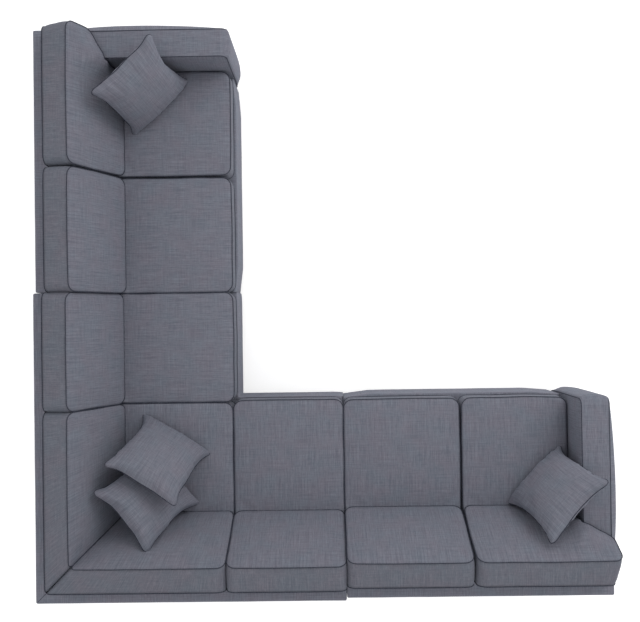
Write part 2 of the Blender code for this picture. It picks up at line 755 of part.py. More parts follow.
def main():
    clear_scene()
    finishes = (
        finish("slate_fabric", 108, 111, 121, 0.9),
        finish("pine", 201, 170, 122, 0.65),
        finish("webbing", 52, 50, 48, 0.9),
        finish("dust_cloth", 26, 26, 28, 0.95),
        finish("black_plastic", 24, 24, 25, 0.55),
        finish("zinc_steel", 176, 178, 182, 0.35, 1.0),
    )
    fabric = finishes[0]
    seam = HALF_LENGTH - CORNER_RUN - SEAM_GAP
    step = HALF_LENGTH - SECTION_STEP
    corner = section_empty("corner_section", HALF_LENGTH, HALF_LENGTH)
    left = section_empty("left_section", seam, step)
    right = section_empty("right_section", step, seam)
    corner_rests = corner_section(corner, finishes)
    left_rests = end_section("left", back_run, left, finishes)
    right_rests = end_section("right", side_run, right, finishes)

    scatter = (
        ("left_scatter_cushion", left, left_rests, back_run, LEFT_SCATTER),
        ("right_scatter_cushion", right, right_rests, side_run, RIGHT_SCATTER),
        ("corner_rear_scatter_cushion", corner, corner_rests, back_run, REAR_SCATTER),
        ("corner_front_scatter_cushion", corner, corner_rests, back_run, FRONT_SCATTER),
    )
    for name, section, (seats, backs), run, (a, w, heading) in scatter:
        cushion = scatter_cushion(name, run(a, w, SEAT_TOP), heading, fabric, section)
        settle(cushion, seats, backs)
        backs.append(cushion)


main()
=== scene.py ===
# %% [markdown]
# # A slate-grey sectional sofa
# This sofa is an L of three upholstered sections: a corner section, and two end sections with arms.
# The frames, legs and hooks come from the engineering model and keep their places. This script makes
# what the eye meets: cloth, padding, cushions and piping. It works through them in the order in which
# an upholsterer would.

# %% Load the frame
import json
import math

import bmesh
import bpy
import numpy as np
from mathutils import Euler, Matrix, Vector, noise
from mathutils.bvhtree import BVHTree


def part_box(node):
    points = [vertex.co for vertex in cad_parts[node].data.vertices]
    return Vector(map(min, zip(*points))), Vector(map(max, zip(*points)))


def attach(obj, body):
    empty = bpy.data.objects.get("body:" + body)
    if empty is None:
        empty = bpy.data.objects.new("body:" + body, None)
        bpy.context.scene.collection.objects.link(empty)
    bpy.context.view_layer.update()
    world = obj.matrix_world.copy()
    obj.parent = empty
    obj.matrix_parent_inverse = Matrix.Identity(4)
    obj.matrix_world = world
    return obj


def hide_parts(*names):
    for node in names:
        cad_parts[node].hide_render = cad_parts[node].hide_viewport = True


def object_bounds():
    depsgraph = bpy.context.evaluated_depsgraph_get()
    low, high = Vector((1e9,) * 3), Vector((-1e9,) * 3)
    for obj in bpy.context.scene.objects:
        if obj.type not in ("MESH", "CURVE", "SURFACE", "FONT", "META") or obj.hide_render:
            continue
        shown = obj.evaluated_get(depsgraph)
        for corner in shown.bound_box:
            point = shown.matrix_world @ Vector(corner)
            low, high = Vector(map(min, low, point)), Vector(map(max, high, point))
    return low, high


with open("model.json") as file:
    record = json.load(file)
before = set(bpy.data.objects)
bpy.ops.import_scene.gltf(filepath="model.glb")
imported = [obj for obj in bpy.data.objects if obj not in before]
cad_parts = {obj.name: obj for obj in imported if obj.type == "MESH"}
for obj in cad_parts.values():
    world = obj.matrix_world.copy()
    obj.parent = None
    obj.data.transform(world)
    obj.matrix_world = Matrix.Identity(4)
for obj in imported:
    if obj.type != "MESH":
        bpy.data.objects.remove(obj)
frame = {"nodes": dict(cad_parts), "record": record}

cad_box = [list(corner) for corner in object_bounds()]
print("The sofa measures", [round(high - low, 3) for low, high in zip(*cad_box)], "m")

# %% [markdown]
# ## The camera
# The sofa is seen from straight above, a little in front of its middle. From that height the lens sees
# the outer sides of nothing and the inner sides of everything, which is what makes the back cushions
# lean towards the rim of the picture. The tilt of under a degree comes from the seams' places.

# %% Camera


def put_in_scene(name, data):
    thing = bpy.data.objects.new(name, data)
    bpy.context.scene.collection.objects.link(thing)
    return thing


camera = bpy.data.cameras.new("overhead_camera")
camera.sensor_width = 36
camera.lens = 43.24
overhead = put_in_scene("overhead_camera", camera)
overhead.location = (-0.0402, 0.05, 4.6242)
overhead.rotation_euler = [math.radians(turn) for turn in (0.6776, 0.6748, 179.1463)]
bpy.context.scene.camera = overhead
bpy.context.scene.view_settings.view_transform = "Standard"

# %% [markdown]
# ## Measuring along the sofa
# An upholsterer measures along a run from the outer corner, and forwards from the back. These helpers
# turn such a place (a along, w forwards, z up) into the sofa's own frame. The side run is the back
# run mirrored, so its meshes need their faces turned round afterwards.

# %% Sizes and section frames
SECTION_DEPTH = 0.985
CORNER_RUN = 1.58
ARM_INNER = 1.21
END_RUN = 1.36
INNER_SEAT_WIDTH = 0.63
SEAM_GAP = 0.004
SECTION_STEP = 0.014
ARM_HEIGHT = 0.67
BACK_HEIGHT = 0.71
DECK_HEIGHT = 0.31
BACK_TOP = 0.09
BACK_FOOT = 0.155
BACK_END = END_RUN - 0.01
BODY_BOTTOM = 0.0601
FIT_GAP = 0.0003

outer_corner = cad_box[1][0]
seam = outer_corner - CORNER_RUN - SEAM_GAP
step_back = outer_corner - SECTION_STEP


def back_run(x, y):
    return lambda a, w, z: Vector((x - a, y - w, z))


def side_run(x, y):
    return lambda a, w, z: Vector((x - w, y - a, z))


runs = {
    "left": back_run(seam, step_back),
    "right": side_run(step_back, seam),
    "corner_left": back_run(outer_corner, outer_corner),
    "corner_right": side_run(outer_corner, outer_corner),
}
print("The seams lie at", round(seam, 4), "m")

# %% [markdown]
# ## A helper for shader and geometry nodes
# Every material and every Geometry Nodes tree below is built with one function. It adds a node, sets
# its properties, and gives each input either a value or another node's output.

# %% Node helper and colours


def add_node(tree, kind, feeds=None, **settings):
    made = tree.nodes.new(kind)
    for name, value in settings.items():
        setattr(made, name, value)
    for key, value in (feeds or {}).items():
        if isinstance(value, bpy.types.NodeSocket):
            tree.links.new(value, made.inputs[key])
        else:
            made.inputs[key].default_value = value
    return made


def paint(code):
    """An sRGB hex colour as the linear colour that Blender's sockets take."""
    levels = [int(code[k : k + 2], 16) / 255 for k in (1, 3, 5)]
    return (*[v / 12.92 if v <= 0.04045 else ((v + 0.055) / 1.055) ** 2.4 for v in levels], 1.0)


def new_material(name):
    material = bpy.data.materials.new(name)
    material.use_nodes = True
    tree = material.node_tree
    return material, tree, tree.nodes["Principled BSDF"]


# %% [markdown]
# ## The cloth
# The cover is a linen-look polyester: a plain weave of slubbed yarns, piece-dyed slate. Slubs are
# thick places in a yarn, so they show as short streaks along the warp and across it. The real yarn is
# near 1 mm, finer than this picture can show, so the streaks are drawn 2 to 5 mm wide, as the eye
# merges them from above. Cloudy patches come from fibres that lie a little differently. Cloth has no
# gloss, but its fibre ends catch light at a grazing angle, which is what sheen is for.

# %% Slate cloth
SLUB_WIDTH = 0.0045
SLUB_LENGTH = 0.15
YARN_WIDTH = 0.0022
YARN_LENGTH = 0.03
WARP_SHARE = 0.62
SLUB_SHARE = 0.55
WEAVE_SPAN = (0.36, 0.64)
WEAVE_HEIGHT = 0.0024
SLATE_LEVELS = {
    "Roughness": 0.93,
    "Specular IOR Level": 0.2,
    "Sheen Weight": 0.18,
    "Sheen Roughness": 0.45,
    "Sheen Tint": paint("#B9C0D0"),
}


def dress(tree, shader, colour, height, bump, levels):
    """Give a shader its colour, a bump as (strength, metres) and its plain levels."""
    feeds = {"Strength": bump[0], "Distance": bump[1], "Height": height}
    raised = add_node(tree, "ShaderNodeBump", feeds)
    tree.links.new(colour, shader.inputs["Base Color"])
    tree.links.new(raised.outputs[0], shader.inputs["Normal"])
    for name, level in levels.items():
        shader.inputs[name].default_value = level


def slate_cloth(name, deep, middle, pale):
    material, tree, shader = new_material(name)
    flat = add_node(tree, "ShaderNodeUVMap", uv_map="cloth").outputs["UV"]
    place = add_node(tree, "ShaderNodeTexCoord").outputs["Object"]

    def streaks(wide, long, turned):
        scale = (1 / long, 1 / wide, 1) if turned else (1 / wide, 1 / long, 1)
        stretched = add_node(tree, "ShaderNodeMapping", {"Vector": flat, "Scale": scale})
        feeds = {"Vector": stretched.outputs[0], "Scale": 1.0, "Detail": 2.0, "Roughness": 0.6}
        return add_node(tree, "ShaderNodeTexNoise", feeds, noise_dimensions="2D").outputs["Fac"]

    patterns = []
    for wide, long in ((SLUB_WIDTH, SLUB_LENGTH), (YARN_WIDTH, YARN_LENGTH)):
        warp, weft = streaks(wide, long, False), streaks(wide, long, True)
        crossed = add_node(tree, "ShaderNodeMix", {"Factor": WARP_SHARE, 2: weft, 3: warp})
        patterns.append(crossed.outputs[0])
    slubs, yarns = patterns
    weave = add_node(tree, "ShaderNodeMix", {"Factor": SLUB_SHARE, 2: yarns, 3: slubs}).outputs[0]
    feeds = {"Value": weave, "From Min": WEAVE_SPAN[0], "From Max": WEAVE_SPAN[1]}
    spread = add_node(tree, "ShaderNodeMapRange", feeds)
    ramp = add_node(tree, "ShaderNodeValToRGB", {"Fac": spread.outputs[0]})
    ramp.color_ramp.elements.new(0.5)
    for stop, shade in zip(ramp.color_ramp.elements, (deep, middle, pale)):
        stop.color = paint(shade)
    feeds = {"Vector": place, "Scale": 9.0, "Detail": 4.0, "Roughness": 0.65}
    clouds = add_node(tree, "ShaderNodeTexNoise", feeds)
    feeds = {"Value": clouds.outputs["Fac"], "From Min": 0.35, "From Max": 0.65}
    warmth = add_node(tree, "ShaderNodeMapRange", feeds)
    feeds = {"Factor": warmth.outputs[0], 6: paint("#F6FBFD"), 7: paint("#FFF9FB")}
    tint = add_node(tree, "ShaderNodeMix", feeds, data_type="RGBA")
    feeds = {"Factor": 1.0, 6: ramp.outputs["Color"], 7: tint.outputs[2]}
    tinted = add_node(tree, "ShaderNodeMix", feeds, data_type="RGBA", blend_type="MULTIPLY")
    dress(tree, shader, tinted.outputs[2], weave, (0.5, WEAVE_HEIGHT), SLATE_LEVELS)
    return material


cover_cloth = slate_cloth("woven_polyester_slate", "#636570", "#72747E", "#81838D")
# The boxing cloth is the same slate cloth painted darker: painted shade on every cushion's boxing.
painted_shade_boxing_cloth = slate_cloth("woven_polyester_slate_boxing_painted_shade", "#5C5E68", "#6A6C75", "#787A83")
# The body cloth is the same slate cloth painted lighter: painted light that lifts the shade on the
# bodies' rails and fronts.
painted_light_body_cloth = slate_cloth("woven_polyester_slate_body_painted_light", "#696B76", "#787A84", "#888A94")
pillow_cloth = slate_cloth("woven_polyester_slate_pillow", "#646671", "#72747E", "#80828C")

# %% [markdown]
# ## The piping
# The seams are piped: a thin cord is wrapped in a bias strip of the same cloth and sewn into the seam.
# In its groove the piping gets little light, so from above it reads as a fine line, nearly black.
# The piping is real, but its strip, cut from the same slate cloth, is painted near-black: painted
# shade.

# %% Piping cloth
EVEN = (1, 1, 1)


def patterned(name, stretch, scale, colours, bump, levels, grain=(5.0, 0.6), span=(0.3, 0.7)):
    """A finish from one stretched noise: two colours, a bump and the shader's plain levels."""
    material, tree, shader = new_material(name)
    place = add_node(tree, "ShaderNodeTexCoord").outputs["Object"]
    stretched = add_node(tree, "ShaderNodeMapping", {"Vector": place, "Scale": stretch})
    feeds = {"Vector": stretched.outputs[0], "Scale": scale, "Detail": grain[0], "Roughness": grain[1]}
    pattern = add_node(tree, "ShaderNodeTexNoise", feeds).outputs["Fac"]
    ramp = add_node(tree, "ShaderNodeValToRGB", {"Fac": pattern})
    for stop, position, shade in zip(ramp.color_ramp.elements, span, colours):
        stop.position = position
        stop.color = paint(shade)
    dress(tree, shader, ramp.outputs["Color"], pattern, bump, levels)
    return material


levels = {"Roughness": 0.95, "Specular IOR Level": 0.15}
twist = {"grain": (2.0, 0.5), "span": (0.35, 0.7)}
shades = ("#2B2D37", "#4A4D59")
# The near-black strip colours are painted shade for the piping's groove.
painted_shade_piping_strip = patterned("bias_strip_slate_painted_shade", EVEN, 260.0, shades, (0.4, 0.0008), levels, **twist)

# %% [markdown]
# ## Timber, webbing, fleece, plastic and steel
# The hidden parts keep their engineering shapes and get a real finish each: sawn pine, woven elastic
# webbing, bonded black fleece under the seat, moulded polypropylene feet and zinc-plated steel
# hooks. Each pattern is scaled in metres: growth rings near 5 mm, a web yarn near 2 mm.

# %% Frame finishes
zinc_levels = {"Roughness": 0.34, "Metallic": 1.0}
finishes = {}
for slot, name, stretch, scale, shades, height, levels in (
    ("pine", "sawn_pine", (1, 1, 9), 24, ("#B98B55", "#DDBB85"), 0.001, {"Roughness": 0.7}),
    ("webbing", "woven_webbing", EVEN, 420, ("#22211F", "#4A4743"), 0.001, {"Roughness": 0.9}),
    ("dust_cloth", "bonded_fleece", EVEN, 300, ("#141416", "#26262A"), 0.0006, {"Roughness": 0.97}),
    ("black_plastic", "polypropylene", EVEN, 900, ("#161617", "#1E1E20"), 0.0002, {"Roughness": 0.5}),
    ("zinc_steel", "zinc_plated_steel", EVEN, 60, ("#A9ACB2", "#C3C6CB"), 0.0001, zinc_levels),
):
    finishes[slot] = patterned(name, stretch, scale, shades, (0.5, height), levels)
slot_of = {entry["node"]: entry["material_slot"] for entry in frame["record"]["subparts"]}
for name, thing in frame["nodes"].items():
    for holder in thing.material_slots:
        holder.material = finishes.get(slot_of[name], cover_cloth)

# %% [markdown]
# ## Sewing a cushion
# A boxed cushion is two panels with a strip, the boxing, sewn between them. The helper lays a grid
# over both panels, joins their rims through the boxing, and writes where each point lay on the flat
# cloth, so that the weave follows every panel. It also keeps the rims, because the piping runs there.

# %% Grid, corners and sewing


def spread_out(start, end, pitch):
    count = max(1, round((end - start) / pitch))
    return [start + (end - start) * k / count for k in range(count + 1)]


def round_off(x, y, corners):
    """Draw the grid round each corner (x, y, inward x, inward y, radius), as a disc fits a square."""
    for corner_x, corner_y, inward_x, inward_y, radius in corners:
        u = 1 - (x - corner_x) * inward_x / radius
        v = 1 - (y - corner_y) * inward_y / radius
        if 0 < u <= 1 and 0 < v <= 1:
            x = corner_x + inward_x * radius * (1 - u * math.sqrt(1 - v * v / 2))
            y = corner_y + inward_y * radius * (1 - v * math.sqrt(1 - u * u / 2))
            break
    return x, y


def four_corners(width, height, low_radius, high_radius):
    """A sheet's corners as round_off takes them, with a radius for the low and the high ones."""
    return [
        (x, y, 1 if x == 0 else -1, 1 if y == 0 else -1, low_radius if y == 0 else high_radius)
        for x in (0, width)
        for y in (0, height)
    ]


def close_up(bm):
    """Turn every face outwards."""
    bmesh.ops.recalc_face_normals(bm, faces=bm.faces)
    if bm.calc_volume(signed=True) < 0:
        bmesh.ops.reverse_faces(bm, faces=bm.faces)


def new_piece(name, bm, material):
    mesh = bpy.data.meshes.new(name)
    bm.to_mesh(mesh)
    bm.free()
    mesh.materials.append(material)
    mesh.shade_smooth()
    return put_in_scene(name, mesh)


def sew(name, columns, rows, levels, place, thickness, material, missing=(), pressed=(0.0, 0.0)):
    """Two panels and their boxing. Returns the piece, its rims and the points between them."""
    bm = bmesh.new()
    flat = bm.loops.layers.uv.new("cloth")
    knots = {}

    def knot(i, j, k):
        if (i, j, k) not in knots:
            knots[i, j, k] = bm.verts.new(place(columns[i], rows[j], levels[k]))
        return knots[i, j, k]

    def patch(keys, spots, cloth=0):
        face = bm.faces.new([knot(*key) for key in keys])
        face.material_index = cloth
        for loop, spot in zip(face.loops, spots):
            loop[flat].uv = spot

    cells = {(i, j) for i in range(len(columns) - 1) for j in range(len(rows) - 1)} - set(missing)
    last = len(levels) - 1
    follows = {}
    for i, j in sorted(cells):
        ring = [(i, j), (i + 1, j), (i + 1, j + 1), (i, j + 1)]
        beyond = [(i, j - 1), (i + 1, j), (i, j + 1), (i - 1, j)]
        for k in (0, last):
            patch([(*at, k) for at in ring], [(columns[p], rows[q]) for p, q in ring])
        for one, two, neighbour in zip(ring, ring[1:] + ring[:1], beyond):
            if neighbour not in cells:
                follows[one] = two
    rim = [min(follows)]
    while follows[rim[-1]] != rim[0]:
        rim.append(follows[rim[-1]])
    along = 0.0
    for one, two in zip(rim, rim[1:] + rim[:1]):
        reach = along + (knot(*one, 0).co - knot(*two, 0).co).length
        for k in range(last):
            low, high = levels[k] * thickness, levels[k + 1] * thickness
            corners = [(*one, k), (*two, k), (*two, k + 1), (*one, k + 1)]
            patch(corners, [(along, low), (reach, low), (reach, high), (along, high)], 1)
        along = reach
    close_up(bm)
    bm.verts.index_update()
    rims = [[knots[(*at, k)].index for at in rim] for k in (0, last)]
    on_rim = set(rims[0] + rims[1])
    inside = [(key, v.index) for key, v in knots.items() if v.index not in on_rim]

    def loose(i, j):
        return columns[i] > pressed[0] and rows[j] > pressed[1]

    panels = []
    for side in (0, last):
        panels.append([index for (i, j, k), index in inside if k == side and loose(i, j)])
    boxing = [index for key, index in inside if 0 < key[2] < last]
    piece = new_piece(name, bm, material)
    # The boxing takes the darker copy of the cloth, which is painted shade.
    piece.data.materials.append(painted_shade_boxing_cloth if boxing else material)
    return {"piece": piece, "rims": rims, "panels": panels, "boxing": boxing}


# %% [markdown]
# ## Shaping a seat and a back cushion
# The seat cushion is a foam block under a feather-soft wrap: flat below, crowned above, with round
# corners and sides that draw in a little between them. The back cushion leans on the slanted back, so
# it is thick at its foot and thin at its top. A back cushion at an arm reaches over it with a wing,
# and the two in the corner meet on a mitre.

# %% Cushion shapes
CLOTH_PITCH = 0.0125
SEAT_HEIGHT = 0.14
SEAT_BOTTOM = DECK_HEIGHT + FIT_GAP
SEAT_TOP = SEAT_BOTTOM + SEAT_HEIGHT
SEAT_REAR = BACK_FOOT + FIT_GAP
SEAT_FRONT = SECTION_DEPTH - 0.011
CORNER_SEAT_FRONT = SECTION_DEPTH + 0.005
SEAT_CROWN = 0.015
CUSHION_INSET = 0.009
CORNER_RADIUS = 0.045
MITRE_RADIUS = 0.03
SIDE_SWELL = (0.0055, 0.003)
FRONT_SWELL = (0.004, 0.003)
DRIFT = 0.0024
CUSHION_FOOT = 0.395
CUSHION_HEAD = 0.216
UNDER_BACK = CUSHION_FOOT - SEAT_REAR + 0.008
FRONT_RISE = 0.405
REAR_RISE = 0.385
BACK_CROWN = 0.017
BACK_THICKNESS = 0.2
MITRE_GAP = 0.004
WING_REAR_DRAW = {"left": 0.031, "right": 0.018}
WING_CLEARANCE = 0.001
NOTCH_FULLNESS = 0.055
NOTCH_REACH = 0.085
BACK_BOTTOM = SEAT_TOP + FIT_GAP
BOXING_LEVELS = [k / 10 for k in range(11)]


def rise(share):
    """0 at 0, 1 from 1 on, level at both."""
    share = min(max(share, 0), 1)
    return share * share * (3 - 2 * share)


def mound(share):
    """0 at both ends and 1 between them, rising quickly."""
    return 1 - abs(2 * share - 1) ** 2.6 if 0 < share < 1 else 0.0


def wander(x, y, seed, reach):
    """A slow sideways drift of a hand-sewn seam, the same on each run."""
    return reach * noise.noise(Vector((7 * x, 7 * y, seed)))


def side_push(x, y, level, width, height, swells, seed):
    """Swell the free sides between their seams and draw the seams in, by (swell, draw) per side."""
    middle = 1 - abs(2 * level - 1) ** 3
    u, v = 2 * x / width - 1, 2 * y / height - 1
    across = swells.get("right" if u > 0 else "left")
    upward = swells.get("top" if v > 0 else "foot")
    if across is not None:
        swell, draw = across
        push = swell * middle - draw * (1 - middle) * (1 - v * v)
        x += math.copysign(abs(u) ** 3 * push, u) + u * u * wander(x, y, seed, DRIFT)
    if upward is not None:
        swell, draw = upward
        push = swell * middle - draw * (1 - middle) * max(1 - u * u, 0)
        y += math.copysign(abs(v) ** 3 * push, v) + v * v * wander(y, x, seed + 5, DRIFT)
    return x, y


def seat_cushion(name, run, start, end, swells, seed, front=SEAT_FRONT, flat_from=0.0):
    """A seat from start to end along its run, with no crown where a back cushion stands on it."""
    width, depth = end - start, front - SEAT_REAR
    corners = four_corners(width, depth, CORNER_RADIUS, CORNER_RADIUS)

    def place(x, y, level):
        across = mound((x - flat_from) / (width - flat_from))
        crown = across * mound((y - UNDER_BACK) / (depth - UNDER_BACK))
        x, y = round_off(x, y, corners)
        x, y = side_push(x, y, level, width, depth, swells, seed)
        z = SEAT_BOTTOM + level * SEAT_HEIGHT + (SEAT_CROWN * crown if level == 1 else 0)
        return run(start + x, SEAT_REAR + y, z)

    columns, rows = spread_out(0, width, CLOTH_PITCH), spread_out(0, depth, CLOTH_PITCH)
    under_backs = (flat_from, UNDER_BACK)
    sheets = (name, columns, rows, BOXING_LEVELS, place, SEAT_HEIGHT, cover_cloth)
    return sew(*sheets, pressed=under_backs)


def back_face(z):
    """How far forward the slanted back stands at this height."""
    share = min(max((z - DECK_HEIGHT) / (BACK_HEIGHT - DECK_HEIGHT), 0), 1)
    return BACK_FOOT + (BACK_TOP - BACK_FOOT) * share


def back_cushion(name, run, start, end, swells, seed, mitred=False, wing_draw=None):
    """A back cushion from start to end along its run, plain, mitred, or with a wing over the arm."""
    width, height = end - start, FRONT_RISE
    lean = math.hypot(height, CUSHION_FOOT - CUSHION_HEAD)
    forward, upward = height / lean, (CUSHION_FOOT - CUSHION_HEAD) / lean
    winged = wing_draw is not None
    reach = BACK_END - start if winged else width
    wing_foot = (ARM_HEIGHT + WING_CLEARANCE - BACK_BOTTOM) * height / REAR_RISE
    radius = CORNER_RADIUS
    corners = [(width, 0, -1, 1, radius), (reach, height, -1, -1, radius)]
    if winged:
        corners.append((reach, wing_foot, -1, 1, radius))
    if mitred:
        corners.append((0, height, 1, -1, MITRE_RADIUS))
    else:
        corners += [(0, 0, 1, 1, radius), (0, height, 1, -1, radius)]

    def place(x, y, level):
        crown = BACK_CROWN * mound(x / reach) * mound(y / height) if level == 1 else 0
        x, y = round_off(x, y, corners)
        x, y = side_push(x, y, level, reach, height, swells, seed)
        rear_z = BACK_BOTTOM + y * REAR_RISE / height
        rear = back_face(rear_z) + FIT_GAP
        front = CUSHION_FOOT + (CUSHION_HEAD - CUSHION_FOOT) * y / height
        drawn = 0.0
        if winged:
            from_notch = math.hypot(x - width, y - wing_foot) / NOTCH_REACH
            front += NOTCH_FULLNESS * math.exp(-from_notch * from_notch)
            drawn = wing_draw * (1 - level) * rise((x - width) / (reach - width))
        w = rear + (front - rear) * level
        first = w + MITRE_GAP / 2 if mitred else start
        z = rear_z + (BACK_BOTTOM + y - rear_z) * level
        return run(first + (end - first) * x / width - drawn, w + crown * forward, z + crown * upward)

    columns, rows = spread_out(0, width, CLOTH_PITCH), spread_out(0, height, CLOTH_PITCH)
    missing = ()
    if winged:
        under = len(columns) - 1
        columns += spread_out(width, reach, CLOTH_PITCH)[1:]
        rows = spread_out(0, wing_foot, CLOTH_PITCH) + spread_out(wing_foot, height, CLOTH_PITCH)[1:]
        below = rows.index(wing_foot)
        missing = {(i, j) for i in range(under, len(columns) - 1) for j in range(below)}
    return sew(name, columns, rows, BOXING_LEVELS, place, BACK_THICKNESS, cover_cloth, missing)


# %% Sew the seats and the backs
# The seams of neighbours in an end section lie about 2 cm apart. In the corner section, and across a
# join between sections, the cushions touch or nearly touch.
JOIN_INSET = 0.0004
JOIN_SWELL = (0.0025, 0.0)
CORNER_INSET = 0.003
CORNER_SWELL = (0.0026, 0.0)
free_sides = {"left": SIDE_SWELL, "right": SIDE_SWELL, "top": FRONT_SWELL}
joined = {**free_sides, "left": JOIN_SWELL}
corner_joined = {"left": CORNER_SWELL, "right": JOIN_SWELL, "top": FRONT_SWELL}
cushions = {}
for side, key in (("left", 3), ("right", 40)):
    run, corner_run = runs[side], runs[f"corner_{side}"]
    inner = (JOIN_INSET, INNER_SEAT_WIDTH - CUSHION_INSET, joined)
    outer = (INNER_SEAT_WIDTH + CUSHION_INSET, ARM_INNER - CUSHION_INSET, free_sides)
    beside = (SECTION_DEPTH + CORNER_INSET, CORNER_RUN - JOIN_INSET, corner_joined)
    mitre = (SEAT_REAR, SECTION_DEPTH - CORNER_INSET, {"right": CORNER_SWELL, "top": FRONT_SWELL})
    for name, way, span, front in (
        (f"{side}_inner_seat_cushion", run, inner, SEAT_FRONT),
        (f"{side}_outer_seat_cushion", run, outer, SEAT_FRONT),
        (f"corner_{side}_seat_cushion", corner_run, beside, CORNER_SEAT_FRONT),
    ):
        key += 11
        cushions[name] = seat_cushion(name + "_cover", way, *span, key, front)
    for name, way, span, special in (
        (f"{side}_inner_back_cushion", run, inner, {}),
        (f"{side}_outer_back_cushion", run, outer, {"wing_draw": WING_REAR_DRAW[side]}),
        (f"corner_{side}_back_cushion", corner_run, beside, {}),
        (f"corner_{side}_mitred_cushion", corner_run, mitre, {"mitred": True}),
    ):
        key += 13
        cushions[name] = back_cushion(name + "_cover", way, *span, key, **special)
middle = SECTION_DEPTH - CORNER_INSET
name, run = "corner_middle_seat_cushion", runs["corner_left"]
tight = {side: CORNER_SWELL for side in ("left", "right", "top")}
cushions[name] = seat_cushion(name + "_cover", run, SEAT_REAR, middle, tight, 99, middle, UNDER_BACK)
print(len(cushions), "boxed cushions sewn")

# %% [markdown]
# ## Scatter cushions
# A scatter cushion is the simplest thing an upholsterer sews: two squares of cloth, face to face,
# filled with feathers. Nothing holds its sides, so the filling pulls them in and leaves the corners
# sticking out. Each panel was cut flat and larger than the cushion, so its spare cloth gathers into
# creases along the seams. The script keeps both shapes: the filled one, and the flat cut as a shape
# key from which the cloth simulation works out where the creases fall.

# %% Sew the scatter cushions
SCATTER_SIZE = 0.42
SCATTER_CUT = 0.46
SCATTER_THICKNESS = 0.17
SCATTER_DRAW = 0.08
SCATTER_PITCH = 0.0084
SCATTER_WAIST = 0.055
SCATTER_FULLNESS = 0.55
SCATTER_LUMPS = 0.1
SCATTER_DRIFT = 0.006
SEAM_HALF = 0.001
LOWER_TIP_RADIUS = 0.028
UPPER_TIP_RADIUS = 0.042

scatter_places = {
    "left_scatter_cushion": ((-1.12, 0.884, 0.4585), -24.912, 47.0),
    "right_scatter_cushion": ((0.851, -1.11, 0.4579), -24.226, -136.0),
    "corner_rear_scatter_cushion": ((0.806, 0.863, 0.4641), -41.724, -49.0),
    "corner_front_scatter_cushion": ((0.785, 0.642, 0.4614), -35.428, -31.0),
}


def scatter_cushion(name, seed):
    """A filled pillow in its own frame, x across, y through and z up, with its flat cut kept."""
    half = SCATTER_SIZE / 2
    tips = four_corners(SCATTER_SIZE, SCATTER_SIZE, LOWER_TIP_RADIUS, UPPER_TIP_RADIUS)

    def place(x, z, level):
        u, v = x / half - 1, z / half - 1
        full = max((1 - u * u) * (1 - v * v), 0) ** SCATTER_FULLNESS
        lumps = 1 + SCATTER_LUMPS * noise.noise(Vector((2.2 * u, 2.2 * v, seed + 9 * level)))
        across, up = wander(x, z, seed, SCATTER_DRIFT), wander(z, x, seed + 3, SCATTER_DRIFT)
        x, z = round_off(x, z, tips)
        u, v = x / half - 1, z / half - 1
        x = half * u * (1 - SCATTER_DRAW * (1 - v**4)) + across
        z = half * (1 + v * (1 - SCATTER_DRAW * (1 - u**4))) + up
        apart = 2 * SEAM_HALF + SCATTER_THICKNESS * full * lumps
        return Vector((x, (level - 0.5) * apart, z))

    stations = spread_out(0, SCATTER_SIZE, SCATTER_PITCH)
    sewn = sew(name, stations, stations, [0.0, 1.0], place, SEAM_HALF, pillow_cloth)
    piece = sewn["piece"]
    mesh = piece.data
    flats = {}
    for loop, flat in zip(mesh.loops, mesh.uv_layers["cloth"].uv):
        flats.setdefault(loop.vertex_index, flat.vector.copy())
    piece.shape_key_add(name="filled")
    cut = piece.shape_key_add(name="flat_cut")
    stretch = SCATTER_CUT / SCATTER_SIZE
    for index, point in flats.items():
        side = math.copysign(SEAM_HALF, mesh.vertices[index].co.y)
        x, z = round_off(point.x, point.y, tips)
        cut.data[index].co = ((x - half) * stretch, side, half + (z - half) * stretch)
    sewn["flats"] = flats
    return sewn


scatters = {}
for number, name in enumerate(scatter_places):
    scatters[name] = scatter_cushion(name + "_cover", 12.5 + 7 * number)
every_cushion = {**cushions, **scatters}
print(len(scatters), "scatter cushions sewn")

# %% [markdown]
# ## Filling them all at once
# Blender's cloth simulation stands in for the filling: air pressure from inside, no gravity, and a
# cloth a little larger than its shape, so that it puckers at the seams as real covers do. A boxed
# cushion's seams are held where they were sewn, and so are its faces that press on something else. A
# scatter cushion is free all over. All the cushions share one run through the frames.

# %% Cloth simulation
FILL_FRAMES = 20


def add_filling(sewn, loose, pressure, slack, tension, bending):
    piece = sewn["piece"]
    sewn["loose"] = sorted(loose)
    sewn["sewn"] = [v.co.copy() for v in piece.data.vertices]
    filling = piece.modifiers.new("filling", "CLOTH")
    filling.point_cache.frame_end = FILL_FRAMES
    cloth = filling.settings
    cloth.quality = 5
    cloth.mass = 0.25
    cloth.tension_stiffness = cloth.compression_stiffness = tension
    cloth.shear_stiffness = tension / 3
    cloth.bending_stiffness = bending
    cloth.air_damping = 2.0
    cloth.use_pressure = True
    cloth.uniform_pressure_force = pressure
    cloth.shrink_min = -slack
    cloth.effector_weights.gravity = 0.0
    held = sorted(set(range(len(sewn["sewn"]))) - set(loose))
    if held:
        piece.vertex_groups.new(name="held").add(held, 1.0, "REPLACE")
        cloth.vertex_group_mass = "held"
        cloth.pin_stiffness = 50.0
    return cloth


